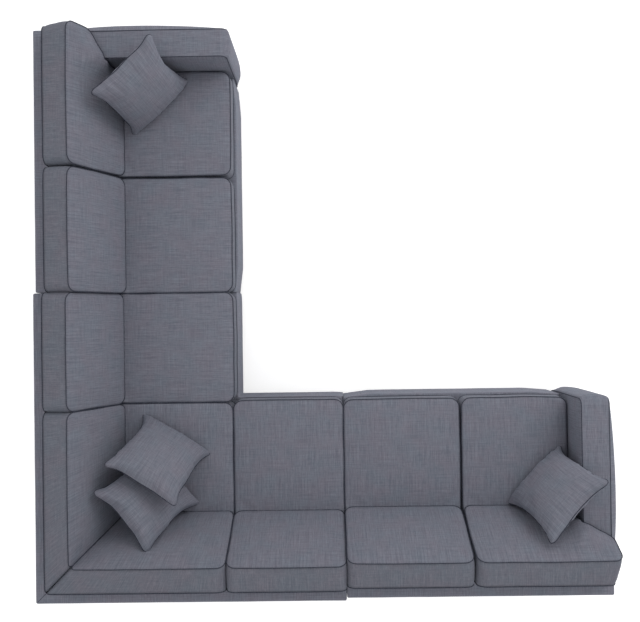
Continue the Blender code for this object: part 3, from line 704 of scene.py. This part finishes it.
for sewn in cushions.values():
    loose = sewn["panels"][1] + sewn["boxing"]
    add_filling(sewn, loose, pressure=0.8, slack=0.006, tension=12.0, bending=0.4)
for sewn in scatters.values():
    loose = range(len(sewn["piece"].data.vertices))
    cloth = add_filling(sewn, loose, pressure=2.0, slack=0.0, tension=80.0, bending=0.01)
    cloth.rest_shape_key = sewn["piece"].data.shape_keys.key_blocks["flat_cut"]
for frame_number in range(1, FILL_FRAMES + 1):
    bpy.context.scene.frame_set(frame_number)
graph = bpy.context.evaluated_depsgraph_get()
for sewn in every_cushion.values():
    sewn["filled"] = [v.co.copy() for v in sewn["piece"].evaluated_get(graph).data.vertices]
for sewn in every_cushion.values():
    sewn["piece"].modifiers.clear()
    sewn["piece"].vertex_groups.clear()
bpy.context.scene.frame_set(1)
for sewn in scatters.values():
    sewn["piece"].shape_key_clear()

# %% [markdown]
# ## Keeping the creases and holding back the swell
# The simulation moves each point by a broad swell and a small crease. Averaging the movement with its
# neighbours' many times leaves the swell, and what was averaged away is the crease. The crease is
# kept, and the swell is eased towards a limit, so that no cushion grows into its neighbour.

# %% Apply the filled shapes
BROAD_PASSES = 24
PANEL_SWELL = 0.004
BOXING_LIMIT = 0.0008
CREASE_LIMIT = 0.003


def eased(push, limit):
    """The same pushes, none of them longer than the limit."""
    length = np.maximum(np.linalg.norm(push, axis=1, keepdims=True), 1e-9)
    return push * limit * np.tanh(length / limit) / length


def settle(name, sewn):
    """Move the loose points of a boxed cushion as its filling asks, within the limits."""
    mesh = sewn["piece"].data
    push = np.array(sewn["filled"]) - np.array(sewn["sewn"])
    ends = np.array([tuple(edge.vertices) for edge in mesh.edges])
    neighbours = np.bincount(ends.ravel())[:, None]
    broad = push.copy()
    for _ in range(BROAD_PASSES):
        total = np.zeros_like(broad)
        np.add.at(total, ends[:, 0], broad[ends[:, 1]])
        np.add.at(total, ends[:, 1], broad[ends[:, 0]])
        broad = (broad + total / neighbours) / 2
    fine = push - broad
    widest = [round(1000 * abs(part).max(), 1) for part in (broad, fine)]
    print(name, "swell and creases, mm:", *widest)
    shift = eased(broad, PANEL_SWELL) + eased(fine, CREASE_LIMIT)
    for index in sewn["loose"]:
        mesh.vertices[index].co = sewn["sewn"][index] + Vector(shift[index])


for name, sewn in cushions.items():
    if "filled" in sewn:
        boxing = [sewn["piece"].data.vertices[k].co.copy() for k in sewn["boxing"]]
        settle(name, sewn)
        for index, start in zip(sewn["boxing"], boxing):
            vertex = sewn["piece"].data.vertices[index]
            shift = vertex.co - start
            if shift.length > BOXING_LIMIT:
                vertex.co = start + shift.normalized() * BOXING_LIMIT

# %% [markdown]
# ## Gathers round the scatter cushions
# Where the two squares are sewn together their spare cloth gathers into small folds. They start at the
# seam, run inwards, and fade out within a hand's breadth. Stretched noise draws them: quick along the
# seam, slow across it. Then each cushion is brought to its finished size and laid where it leans.

# %% Gathers, and the places where the cushions lean
GATHER_DEPTH = 0.0042
GATHER_REACH = 0.05
GATHER_WIDTH = 0.026
GATHER_LENGTH = 0.11
GATHER_START = 0.012
REAR_THINNING = 0.62
THINNING_REACH = 0.06
RIM_TURN = 0.014
FRONT_FLATNESS = 0.3


def extent(points):
    """The lowest and the highest corner of the points' box."""
    return [Vector(limit(v.co[k] for v in points) for k in range(3)) for limit in (min, max)]


def gathers(x, z, seed):
    """How far the cloth rises or sinks at (x, z) on a flat square panel."""
    total = 0.0
    sides = ((x, z), (x, SCATTER_SIZE - z), (z, x), (z, SCATTER_SIZE - x))
    for side, (along, away) in enumerate(sides):
        spot = Vector((along / GATHER_WIDTH, away / GATHER_LENGTH, seed + 7 * side))
        total += noise.noise(spot) * math.exp(-away / GATHER_REACH) * rise(away / GATHER_START)
    return GATHER_DEPTH * 2 * total


def leaned_on(y, flat):
    """The front lies flatter in its middle, the rear thins out at the rim, and the rim turns back."""
    from_rim = min(flat.x, flat.y, SCATTER_SIZE - flat.x, SCATTER_SIZE - flat.y)
    near_rim = math.exp(-from_rim / THINNING_REACH)
    if y > 0:
        return y * (1 - REAR_THINNING * near_rim) + RIM_TURN * near_rim
    full = 2 * y / SCATTER_THICKNESS
    return y * (1 + FRONT_FLATNESS - FRONT_FLATNESS * full * full) + RIM_TURN * near_rim


def each_flat(sewn):
    """Each point of a scatter cushion with its place on the flat cut."""
    return [(v, sewn["flats"][v.index]) for v in sewn["piece"].data.vertices]


for number, (name, sewn) in enumerate(scatters.items()):
    mesh = sewn["piece"].data
    for vertex, point in zip(mesh.vertices, sewn.get("filled", [])):
        vertex.co = point
    mesh.update()
    folds = [gathers(*flat, 31 * number + 5 * (v.co.y > 0)) * v.normal for v, flat in each_flat(sewn)]
    low, high = extent(mesh.vertices)
    print(name, "filled to", [round(1000 * v) for v in high - low], "mm")
    finished = (SCATTER_SIZE, SCATTER_THICKNESS, SCATTER_SIZE)
    spread = [size / v for size, v in zip(finished, high - low)]
    for vertex, fold in zip(mesh.vertices, folds):
        local = vertex.co - Vector(((low.x + high.x) / 2, (low.y + high.y) / 2, low.z))
        x, y, z = (a * b for a, b in zip(local, spread))
        waist = 1 - SCATTER_WAIST * (1 - (2 * z / SCATTER_SIZE - 1) ** 4)
        vertex.co = Vector((x * waist, leaned_on(y, sewn["flats"][vertex.index]), z)) + fold
    spot, lean, heading = scatter_places[name]
    turn = Euler((math.radians(lean), 0, math.radians(heading))).to_matrix().to_4x4()
    mesh.transform(Matrix.Translation(spot) @ turn)

# %% [markdown]
# ## The padded bodies
# Under the cushions each section has a timber body with foam and cloth over it. Foam rounds every
# edge and lets each panel stand a little proud in its middle. The shape starts as a plain cage, is
# softened along its edges, is cut into small squares, and then each point moves by an amount that
# depends on where in its panel it lies.

# %% Cages of the bodies
# Two sections are hooked tight, so their padding closes the join between them.
JOIN_PADDING = 0.0013
ARM_NOSE = 0.035

body_profile = [
    (0, BODY_BOTTOM),
    (0, BACK_HEIGHT),
    (BACK_TOP, BACK_HEIGHT),
    (BACK_FOOT, DECK_HEIGHT),
    (SECTION_DEPTH, DECK_HEIGHT),
    (SECTION_DEPTH, BODY_BOTTOM),
]


def loft(rings):
    bm = bmesh.new()
    rings = [[bm.verts.new(point) for point in ring] for ring in rings]
    for one, two in zip(rings, rings[1:]):
        for k in range(len(one)):
            after = (k + 1) % len(one)
            bm.faces.new((one[k], one[after], two[after], two[k]))
    bm.faces.new(rings[0])
    bm.faces.new(rings[-1])
    return bm


def corner_cage():
    end = CORNER_RUN + JOIN_PADDING
    back = [(end, w, z) for w, z in body_profile]
    mitre = [(w, w, z) for w, z in body_profile]
    side = [(w, end, z) for w, z in body_profile]
    return loft([back, mitre, side])


def end_cage():
    arm_at = ARM_INNER - FIT_GAP
    bm = bmesh.new()
    profile = body_profile + [(BACK_FOOT, BODY_BOTTOM)]
    first, middle = ([bm.verts.new((a, w, z)) for w, z in profile] for a in (-JOIN_PADDING, arm_at))
    back = (0, 1, 2, 3, 6)
    last = {k: bm.verts.new((BACK_END, *profile[k])) for k in back}
    bm.faces.new(first)
    bm.faces.new([middle[k] for k in (3, 4, 5, 6)])
    bm.faces.new([last[k] for k in back])
    for k in range(len(profile)):
        after = (k + 1) % len(profile)
        bm.faces.new((first[k], first[after], middle[after], middle[k]))
    for k, after in zip(back, back[1:] + back[:1]):
        bm.faces.new((middle[k], middle[after], last[after], last[k]))
    return bm


def arm_outline():
    """The arm from the side as (w, z), with a round nose."""
    rear_top = back_face(ARM_HEIGHT) + FIT_GAP
    centre_w, centre_z = SECTION_DEPTH - ARM_NOSE, ARM_HEIGHT - ARM_NOSE
    turns = [math.radians(90 - 15 * k) for k in range(7)]
    nose = [(centre_w + ARM_NOSE * math.cos(t), centre_z + ARM_NOSE * math.sin(t)) for t in turns]
    return [(SEAT_REAR, DECK_HEIGHT), (rear_top, ARM_HEIGHT), *nose, (SECTION_DEPTH, BODY_BOTTOM)]


def arm_cage():
    outline = [(SEAT_REAR, BODY_BOTTOM), *arm_outline()]
    return loft([[(a, w, z) for w, z in outline] for a in (ARM_INNER, END_RUN)])


# %% Softening and cutting
EDGE_SOFTNESS = 0.008
ARM_SOFTNESS = 0.007
BODY_PITCH = 0.03
ARM_PITCH = 0.014


def soften(bm, width, sharper_than):
    close_up(bm)
    edges = [
        edge
        for edge in bm.edges
        if edge.is_convex
        and edge.calc_face_angle() > sharper_than
        and max(v.co.z for v in edge.verts) > BODY_BOTTOM + FIT_GAP
    ]
    bmesh.ops.bevel(bm, geom=edges, offset=width, segments=3, profile=0.5, affect="EDGES")


def cut_up(bm, pitch):
    """Cut the whole mesh by level and upright planes, a pitch apart."""
    for axis in range(3):
        low = min(v.co[axis] for v in bm.verts)
        high = max(v.co[axis] for v in bm.verts)
        normal = [float(k == axis) for k in range(3)]
        for place in spread_out(low, high, pitch)[1:-1]:
            spot = [place if k == axis else 0.0 for k in range(3)]
            geometry = [*bm.verts, *bm.edges, *bm.faces]
            bmesh.ops.bisect_plane(bm, geom=geometry, plane_co=spot, plane_no=normal, dist=1e-5)


# %% Padding
# An end section's front is fullest between its join and its arm. The corner section's front is fuller.
FRONT_FROM = 0.9
FRONT_REACH = 0.07
END_FRONT = 0.007
FALL_AT_JOIN = (0.019, 0.15)
FALL_AT_ARM = (0.0125, 0.155)
CORNER_FRONT = 0.0125
CORNER_FALL = (0.004, 0.04)
END_BACK_FULLNESS = 0.0035
CORNER_BACK_FULLNESS = 0.003
UNEVENNESS = 0.0009


def uneven(point, seed):
    """Foam under cloth is never quite flat: under a millimetre, on a hand's scale."""
    return UNEVENNESS * noise.noise(Vector((6 * point.x, 6 * point.y, 6 * point.z + seed)))


def fallen_back(along, end, fall):
    """How far a base's front falls back towards an end, by fall as (amount, length)."""
    amount, length = fall
    return amount * max(1 - abs(along - end) / length, 0)


def fronted(w):
    """0 on the deck and 1 at a section's front."""
    return rise((w - FRONT_FROM) / FRONT_REACH)


def outer_back(away, z, amount):
    """How far a back's outer cloth stands out, most of it in the upper half."""
    return amount * (1 - rise(away / 0.01)) * rise((z - BODY_BOTTOM) / 0.3)


def end_padding(point, normal):
    fall = fallen_back(point.x, 0, FALL_AT_JOIN) + fallen_back(point.x, ARM_INNER, FALL_AT_ARM)
    outward = outer_back(point.y, point.z, END_BACK_FULLNESS)
    forward = fronted(point.y) * (END_FRONT - fall) - outward
    return Vector((0, forward, 0)) + normal * uneven(point, 3)


def corner_padding(point, normal):
    front = fronted(point.y) * (point.x > SECTION_DEPTH - 0.001)
    side = fronted(point.x) * (point.y > SECTION_DEPTH - 0.001)
    across = side * (CORNER_FRONT - fallen_back(point.y, CORNER_RUN, CORNER_FALL))
    forward = front * (CORNER_FRONT - fallen_back(point.x, CORNER_RUN, CORNER_FALL))
    across -= outer_back(point.x, point.z, CORNER_BACK_FULLNESS)
    forward -= outer_back(point.y, point.z, CORNER_BACK_FULLNESS)
    return Vector((across, forward, 0)) + normal * uneven(point, 8)


# %% Padding of the arms
# The arm's outer side bulges most, its top and nose are crowned, and its foot is tucked in.
ARM_BULGE = 0.033
ARM_INNER_BULGE = 0.004
ARM_FRONT = 0.006
ARM_FRONT_CROWN = 0.016
ARM_TOP_CROWN = 0.005
ARM_TUCK = 0.008
BASE_TUCK = 0.013


def arm_padding(point, normal):
    """Each rise(distance / reach) brings a term in over that reach, in metres."""
    share = min(max((point.y - BACK_FOOT) / (SECTION_DEPTH - BACK_FOOT), 0), 1)
    along = max(math.sin(math.pi * share**0.75), 0) ** 0.6
    drop = ARM_HEIGHT - point.z
    full = rise(drop / 0.035) * (1 - 0.7 * rise((drop - 0.08) / 0.5))
    outer = max(normal.x, 0) * ARM_BULGE * along * full
    above_seat = rise((point.z - SEAT_TOP - 0.03) / 0.05) * rise(drop / 0.04)
    clear_of_cushion = rise((point.y - CUSHION_FOOT) / 0.1) * rise((SECTION_DEPTH - point.y) / 0.08)
    inner = max(-normal.x, 0) ** 2 * ARM_INNER_BULGE * above_seat * clear_of_cushion
    crown = mound((point.x - ARM_INNER) / (END_RUN - ARM_INNER))
    proud = (ARM_FRONT + ARM_FRONT_CROWN * crown) * rise((point.z - BODY_BOTTOM) / 0.09)
    front = max(normal.y, 0) ** 2 * proud
    beside_base = 1 - rise((point.x - ARM_INNER - 0.02) / 0.05)
    tucked = ARM_TUCK + BASE_TUCK * beside_base
    lower = -tucked * fronted(point.y) * (1 - rise((point.z - BODY_BOTTOM) / 0.2))
    top = max(normal.z, 0) ** 2 * ARM_TOP_CROWN * crown * rise((point.y - CUSHION_FOOT) / 0.12)
    return Vector((outer - inner, front + lower, top)) + normal * uneven(point, 15) * 0.5


# %% Upholster the bodies and the arms


def lay_cloth(bm):
    """Flat cloth coordinates for each face, from the way it faces."""
    flat = bm.loops.layers.uv["cloth"]
    for face in bm.faces:
        ways = [abs(v) for v in face.normal]
        across, up = {0: (1, 2), 1: (0, 2), 2: (0, 1)}[ways.index(max(ways))]
        for loop in face.loops:
            loop[flat].uv = (loop.vert.co[across], loop.vert.co[up])


def upholster(name, bm, softness, pitch, padding, run, cloth, sharper_than=0.3):
    """Soften, cut up and pad a cage, then hollow it from below and put it in its place."""
    bm.loops.layers.uv.new("cloth")
    soften(bm, softness, sharper_than)
    cut_up(bm, pitch)
    bmesh.ops.remove_doubles(bm, verts=bm.verts, dist=1e-5)
    bm.normal_update()
    lay_cloth(bm)
    shifts = [padding(v.co, v.normal) for v in bm.verts]
    below = [f for f in bm.faces if max(v.co.z for v in f.verts) < BODY_BOTTOM + 1e-4]
    for vertex, shift in zip(bm.verts, shifts):
        vertex.co = run(*(vertex.co + shift))
    if run(1, 0, 0).x == run(0, 0, 0).x:
        bmesh.ops.reverse_faces(bm, faces=bm.faces)
    bmesh.ops.delete(bm, geom=below, context="FACES")
    return new_piece(name, bm, cloth)


# The bodies wear the lighter copy of the cloth, which is painted light.
covers = {}
for name, cage, padding, run in (
    ("corner_body", corner_cage(), corner_padding, runs["corner_left"]),
    ("left_body", end_cage(), end_padding, runs["left"]),
    ("right_body", end_cage(), end_padding, runs["right"]),
):
    made = upholster(name, cage, EDGE_SOFTNESS, BODY_PITCH, padding, run, painted_light_body_cloth)
    covers[name + "_cover"] = made
for side in ("left", "right"):
    name, run = f"{side}_arm", runs[side]
    made = upholster(name, arm_cage(), ARM_SOFTNESS, ARM_PITCH, arm_padding, run, cover_cloth, 0.5)
    covers[name + "_cover"] = made
for name, cover in covers.items():
    print(name, len(cover.data.polygons), "faces")

# %% [markdown]
# ## Letting the scatter cushions rest
# A feather cushion gives way where it meets a seat, a back or an arm. Each point of it that lies
# inside a neighbour moves to that neighbour's surface, so that the cushion is flat where it rests and
# keeps its shape elsewhere. In the corner the rear cushion is laid first, as it would be by hand.

# %% Press the scatter cushions against their neighbours
REST_GAP = 0.0008
DEEPEST_PRESS = 0.04


def skin_tree(piece):
    """The surface of a piece and its box, for finding what lies inside it."""
    skin = bmesh.new()
    skin.from_mesh(piece.data)
    skin.normal_update()
    low, high = extent(skin.verts)
    surface = BVHTree.FromBMesh(skin)
    skin.free()
    return surface, low, high


def press(piece, neighbours):
    """Bring each point that lies inside a neighbour to its surface. Returns the deepest move."""
    deepest = 0.0
    for vertex in piece.data.vertices:
        for surface, low, high in neighbours:
            if any(not low[k] <= vertex.co[k] <= high[k] for k in range(3)):
                continue
            spot, normal, _, away = surface.find_nearest(vertex.co, DEEPEST_PRESS)
            if spot is not None and (vertex.co - spot).dot(normal) < REST_GAP:
                vertex.co = spot + REST_GAP * normal
                deepest = max(deepest, away)
    return deepest


beside = [sewn["piece"] for sewn in cushions.values()]
beside += [covers["left_arm_cover"], covers["right_arm_cover"]]
neighbours = [skin_tree(piece) for piece in beside]
for name, sewn in scatters.items():
    print(name, "gives way by up to", round(1000 * press(sewn["piece"], neighbours), 1), "mm")
    neighbours.append(skin_tree(sewn["piece"]))

# %% [markdown]
# ## The piping, swept along every seam
# Each rim is a closed path. A Geometry Nodes tree turns it into a curve, spaces its points evenly and
# sweeps a small circle along it. One tree with named inputs serves all the seams, and its result is
# turned into a plain mesh. The staples follow a path too, so one function builds what both trees
# share.

# %% Trees that follow a path
PIPING_RADIUS = 0.002
PIPING_PROUD = 0.0013
PIPING_PITCH = 0.009


def path_tree(name, sizes, shape):
    """A tree that spaces points along a path and shapes pieces from them, and its inputs' names."""
    tree = bpy.data.node_groups.new(name, "GeometryNodeTree")
    identifiers = {}
    for label, kind in (("Path", "Geometry"), ("Pitch", "Float"), *sizes, ("Finish", "Material")):
        made = tree.interface.new_socket(label, in_out="INPUT", socket_type="NodeSocket" + kind)
        identifiers[label] = made.identifier
    tree.interface.new_socket("Pieces", in_out="OUTPUT", socket_type="NodeSocketGeometry")
    given = add_node(tree, "NodeGroupInput").outputs
    path = add_node(tree, "GeometryNodeMeshToCurve", {"Mesh": given["Path"]})
    feeds = {"Curve": path.outputs[0], "Length": given["Pitch"]}
    spaced = add_node(tree, "GeometryNodeResampleCurve", feeds, mode="LENGTH")
    shaped = shape(tree, spaced.outputs[0], given)
    real = add_node(tree, "GeometryNodeRealizeInstances", {"Geometry": shaped})
    feeds = {"Geometry": real.outputs[0], "Material": given["Finish"]}
    finished = add_node(tree, "GeometryNodeSetMaterial", feeds)
    add_node(tree, "NodeGroupOutput", {"Pieces": finished.outputs[0]})
    return tree, identifiers


def swept(tree, curve, given):
    """A round cord along the path."""
    feeds = {"Resolution": 8, "Radius": given["Radius"]}
    ring = add_node(tree, "GeometryNodeCurvePrimitiveCircle", feeds)
    feeds = {"Curve": curve, "Profile Curve": ring.outputs[0], "Fill Caps": True}
    return add_node(tree, "GeometryNodeCurveToMesh", feeds).outputs[0]


def grown(name, source, growth, values):
    """Run a Geometry Nodes tree on a mesh and keep its result as a plain mesh object."""
    tree, identifiers = growth
    modifier = source.modifiers.new("growth", "NODES")
    modifier.node_group = tree
    for label, value in values.items():
        modifier[identifiers[label]] = value
    bpy.context.view_layer.update()
    graph = bpy.context.evaluated_depsgraph_get()
    mesh = bpy.data.meshes.new_from_object(source.evaluated_get(graph), depsgraph=graph)
    mesh.name = name
    mesh.shade_smooth()
    bpy.data.objects.remove(source)
    return put_in_scene(name, mesh)


def path_object(paths):
    """Closed or open (points, closed) paths as a mesh of edges only."""
    bm = bmesh.new()
    for points, closed in paths:
        made = [bm.verts.new(point) for point in points]
        for one, two in zip(made, made[1:] + made[:1] if closed else made[1:]):
            bm.edges.new((one, two))
    return new_piece("seam_path", bm, painted_shade_piping_strip)


# %% Pipe the cushions
sweep = path_tree("piping", [("Radius", "Float")], swept)


def piping(name, paths, radius=PIPING_RADIUS):
    # Every piping takes the strip painted near-black, which is painted shade.
    values = {"Radius": radius, "Pitch": PIPING_PITCH, "Finish": painted_shade_piping_strip}
    return grown(name, path_object(paths), sweep, values)


pipings = {}
for name, sewn in every_cushion.items():
    mesh = sewn["piece"].data
    rims = sewn["rims"] if name in cushions else sewn["rims"][1:]
    paths = []
    for rim in rims:
        knots = [mesh.vertices[k] for k in rim]
        paths.append(([knot.co + PIPING_PROUD * knot.normal for knot in knots], True))
    pipings[name] = piping(name.replace("cushion", "piping"), paths)
print(len(pipings), "cushions piped")

# %% [markdown]
# ## Seams of the bodies
# Each arm is a band that runs over its top and down its front, with a side panel sewn to each edge
# through piping. On the corner section a plain seam crosses the top of the back, on the mitre.

# %% Arm piping and the mitre seam
SEAM_RADIUS = 0.0012
ARM_SEAM_INSET = 0.007
ARM_SEAM_PITCH = 0.02
ARM_SEAM_PROUD = 0.0006
INNER_SEAM_INSET = 0.0025


def arm_seam(a, run, surface):
    """A path along the arm's top and down its front, laid on the padded cloth."""
    outline = arm_outline()[1:]
    path = []
    for (w0, z0), (w1, z1) in zip(outline, outline[1:]):
        count = max(1, round(math.hypot(w1 - w0, z1 - z0) / ARM_SEAM_PITCH))
        for k in range(count):
            guess = run(a, w0 + (w1 - w0) * k / count, z0 + (z1 - z0) * k / count)
            spot, normal, _, _ = surface.find_nearest(guess)
            path.append(spot + ARM_SEAM_PROUD * normal)
    return path, False


for side in ("left", "right"):
    surface, _, _ = skin_tree(covers[f"{side}_arm_cover"])
    seams_at = (ARM_INNER + INNER_SEAM_INSET, END_RUN - ARM_SEAM_INSET)
    edges = [arm_seam(a, runs[side], surface) for a in seams_at]
    pipings[f"{side}_arm_cover"] = piping(f"{side}_arm_piping", edges)
stations = spread_out(EDGE_SOFTNESS, BACK_TOP, 0.01)
across = [runs["corner_left"](t, t, BACK_HEIGHT + 0.0002) for t in stations]
pipings["corner_body_cover"] = piping("corner_mitre_seam", [(across, False)], SEAM_RADIUS)

# %% [markdown]
# ## A wall for the covers
# So far each cover is a skin without thickness, open below. A Solidify modifier gives it the few
# millimetres of cloth and wadding that it has, inwards, so that its outside stays where it is. The
# result is kept as a plain mesh.

# %% Cover walls
SHELL = 0.0035

for name, cover in covers.items():
    wall = cover.modifiers.new("wall", "SOLIDIFY")
    wall.thickness = SHELL
    wall.offset = -1
    graph = bpy.context.evaluated_depsgraph_get()
    solid = bpy.data.meshes.new_from_object(cover.evaluated_get(graph), depsgraph=graph)
    cover.modifiers.clear()
    cover.data = solid
    print(name, len(solid.polygons), "faces with its wall")

# %% [markdown]
# ## Staples under the seats
# The black fleece below each section is held by a row of staples, about one every 5 cm. They are the
# kind of small repeated part that Geometry Nodes are made for: a path round each fleece, points
# along it, and one staple on each point, turned to follow the path.

# %% Staples
STAPLE_PITCH = 0.05
STAPLE_INSET = 0.012
STAPLE_CROWN = (0.0009, 0.0006, 0.011)
STAPLE_DROP = 0.0003


def stapled(tree, curve, given):
    """One staple's crown on each point of the path, turned to follow it."""
    points = add_node(tree, "GeometryNodeCurveToPoints", {"Curve": curve}, mode="EVALUATED").outputs
    crown = add_node(tree, "GeometryNodeMeshCube", {"Size": given["Crown"]})
    feeds = {"Points": points[0], "Instance": crown.outputs[0], "Rotation": points["Rotation"]}
    return add_node(tree, "GeometryNodeInstanceOnPoints", feeds).outputs[0]


stapling = path_tree("staples", [("Crown", "Vector")], stapled)
staple_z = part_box("corner_dust_cover")[0].z - STAPLE_DROP
values = {"Pitch": STAPLE_PITCH, "Crown": STAPLE_CROWN, "Finish": finishes["zinc_steel"]}
staples = {}
for name in ("corner", "left", "right"):
    low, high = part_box(f"{name}_dust_cover")
    x0, y0 = low.x + STAPLE_INSET, low.y + STAPLE_INSET
    x1, y1 = high.x - STAPLE_INSET, high.y - STAPLE_INSET
    outline = [(x0, y0), (x1, y0), (x1, y1), (x0, y1)]
    if name == "corner":
        notch = CORNER_RUN - SECTION_DEPTH
        outline = [(x0 + notch, y0), *outline[1:], (x0, y0 + notch), (x0 + notch, y0 + notch)]
    ring = path_object([([(x, y, staple_z) for x, y in outline], True)])
    staples[name] = grown(f"{name}_staples", ring, stapling, values)
    print(name, len(staples[name].data.polygons) // 6, "staples")

# %% [markdown]
# ## Joining the pieces to the sofa
# Every cover stands for the plain solid of the same name, and rides with the sofa.

# %% Ride and replace
for name, sewn in every_cushion.items():
    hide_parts(name)
for name, cover in covers.items():
    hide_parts(name)
soft = [sewn["piece"] for sewn in every_cushion.values()]
for piece in [*soft, *covers.values(), *pipings.values()]:
    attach(piece, "sofa")
for piece in staples.values():
    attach(piece, "sofa")

# %% [markdown]
# ## Floor and light
# The sofa stands on a plain white studio floor. An even sky of light keeps the cloth's own colour, and
# one large soft lamp over the open side of the L gives the cushions their gentle modelling. The
# floor glows a little for the camera alone, so that it reads as white and still keeps the shadow.

# %% Studio


def studio_floor():
    material, tree, shader = new_material("studio_floor")
    shader.inputs["Base Color"].default_value = paint("#F4F4F4")
    shader.inputs["Roughness"].default_value = 0.9
    seen = add_node(tree, "ShaderNodeLightPath").outputs["Is Camera Ray"]
    tree.links.new(seen, shader.inputs["Emission Strength"])
    shader.inputs["Emission Color"].default_value = paint("#BCBCBC")
    return material


bm = bmesh.new()
bmesh.ops.create_grid(bm, x_segments=1, y_segments=1, size=12)
floor = new_piece("floor", bm, studio_floor())

SKY_STRENGTH = 0.82
world = bpy.data.worlds.new("studio")
world.use_nodes = True
sky = world.node_tree.nodes["Background"]
sky.inputs["Color"].default_value = paint("#FFFFFF")
seen_by = add_node(world.node_tree, "ShaderNodeLightPath").outputs
bright = seen_by["Is Camera Ray"]
for ray in ("Is Glossy Ray", "Is Transmission Ray"):
    feeds = {0: bright, 1: seen_by[ray]}
    bright = add_node(world.node_tree, "ShaderNodeMath", feeds, operation="MAXIMUM").outputs[0]
feeds = {"Value": bright, "To Min": SKY_STRENGTH, "To Max": 1.0}
strength = add_node(world.node_tree, "ShaderNodeMapRange", feeds).outputs[0]
world.node_tree.links.new(strength, sky.inputs["Strength"])
bpy.context.scene.world = world

lamp = bpy.data.lights.new("softbox", "AREA")
lamp.shape = "DISK"
lamp.size = 3.5
lamp.energy = 85
softbox = put_in_scene("softbox", lamp)
softbox.location = (-3.0, -3.0, 3.4)
softbox.rotation_euler = (-softbox.location).to_track_quat("-Z", "Y").to_euler()
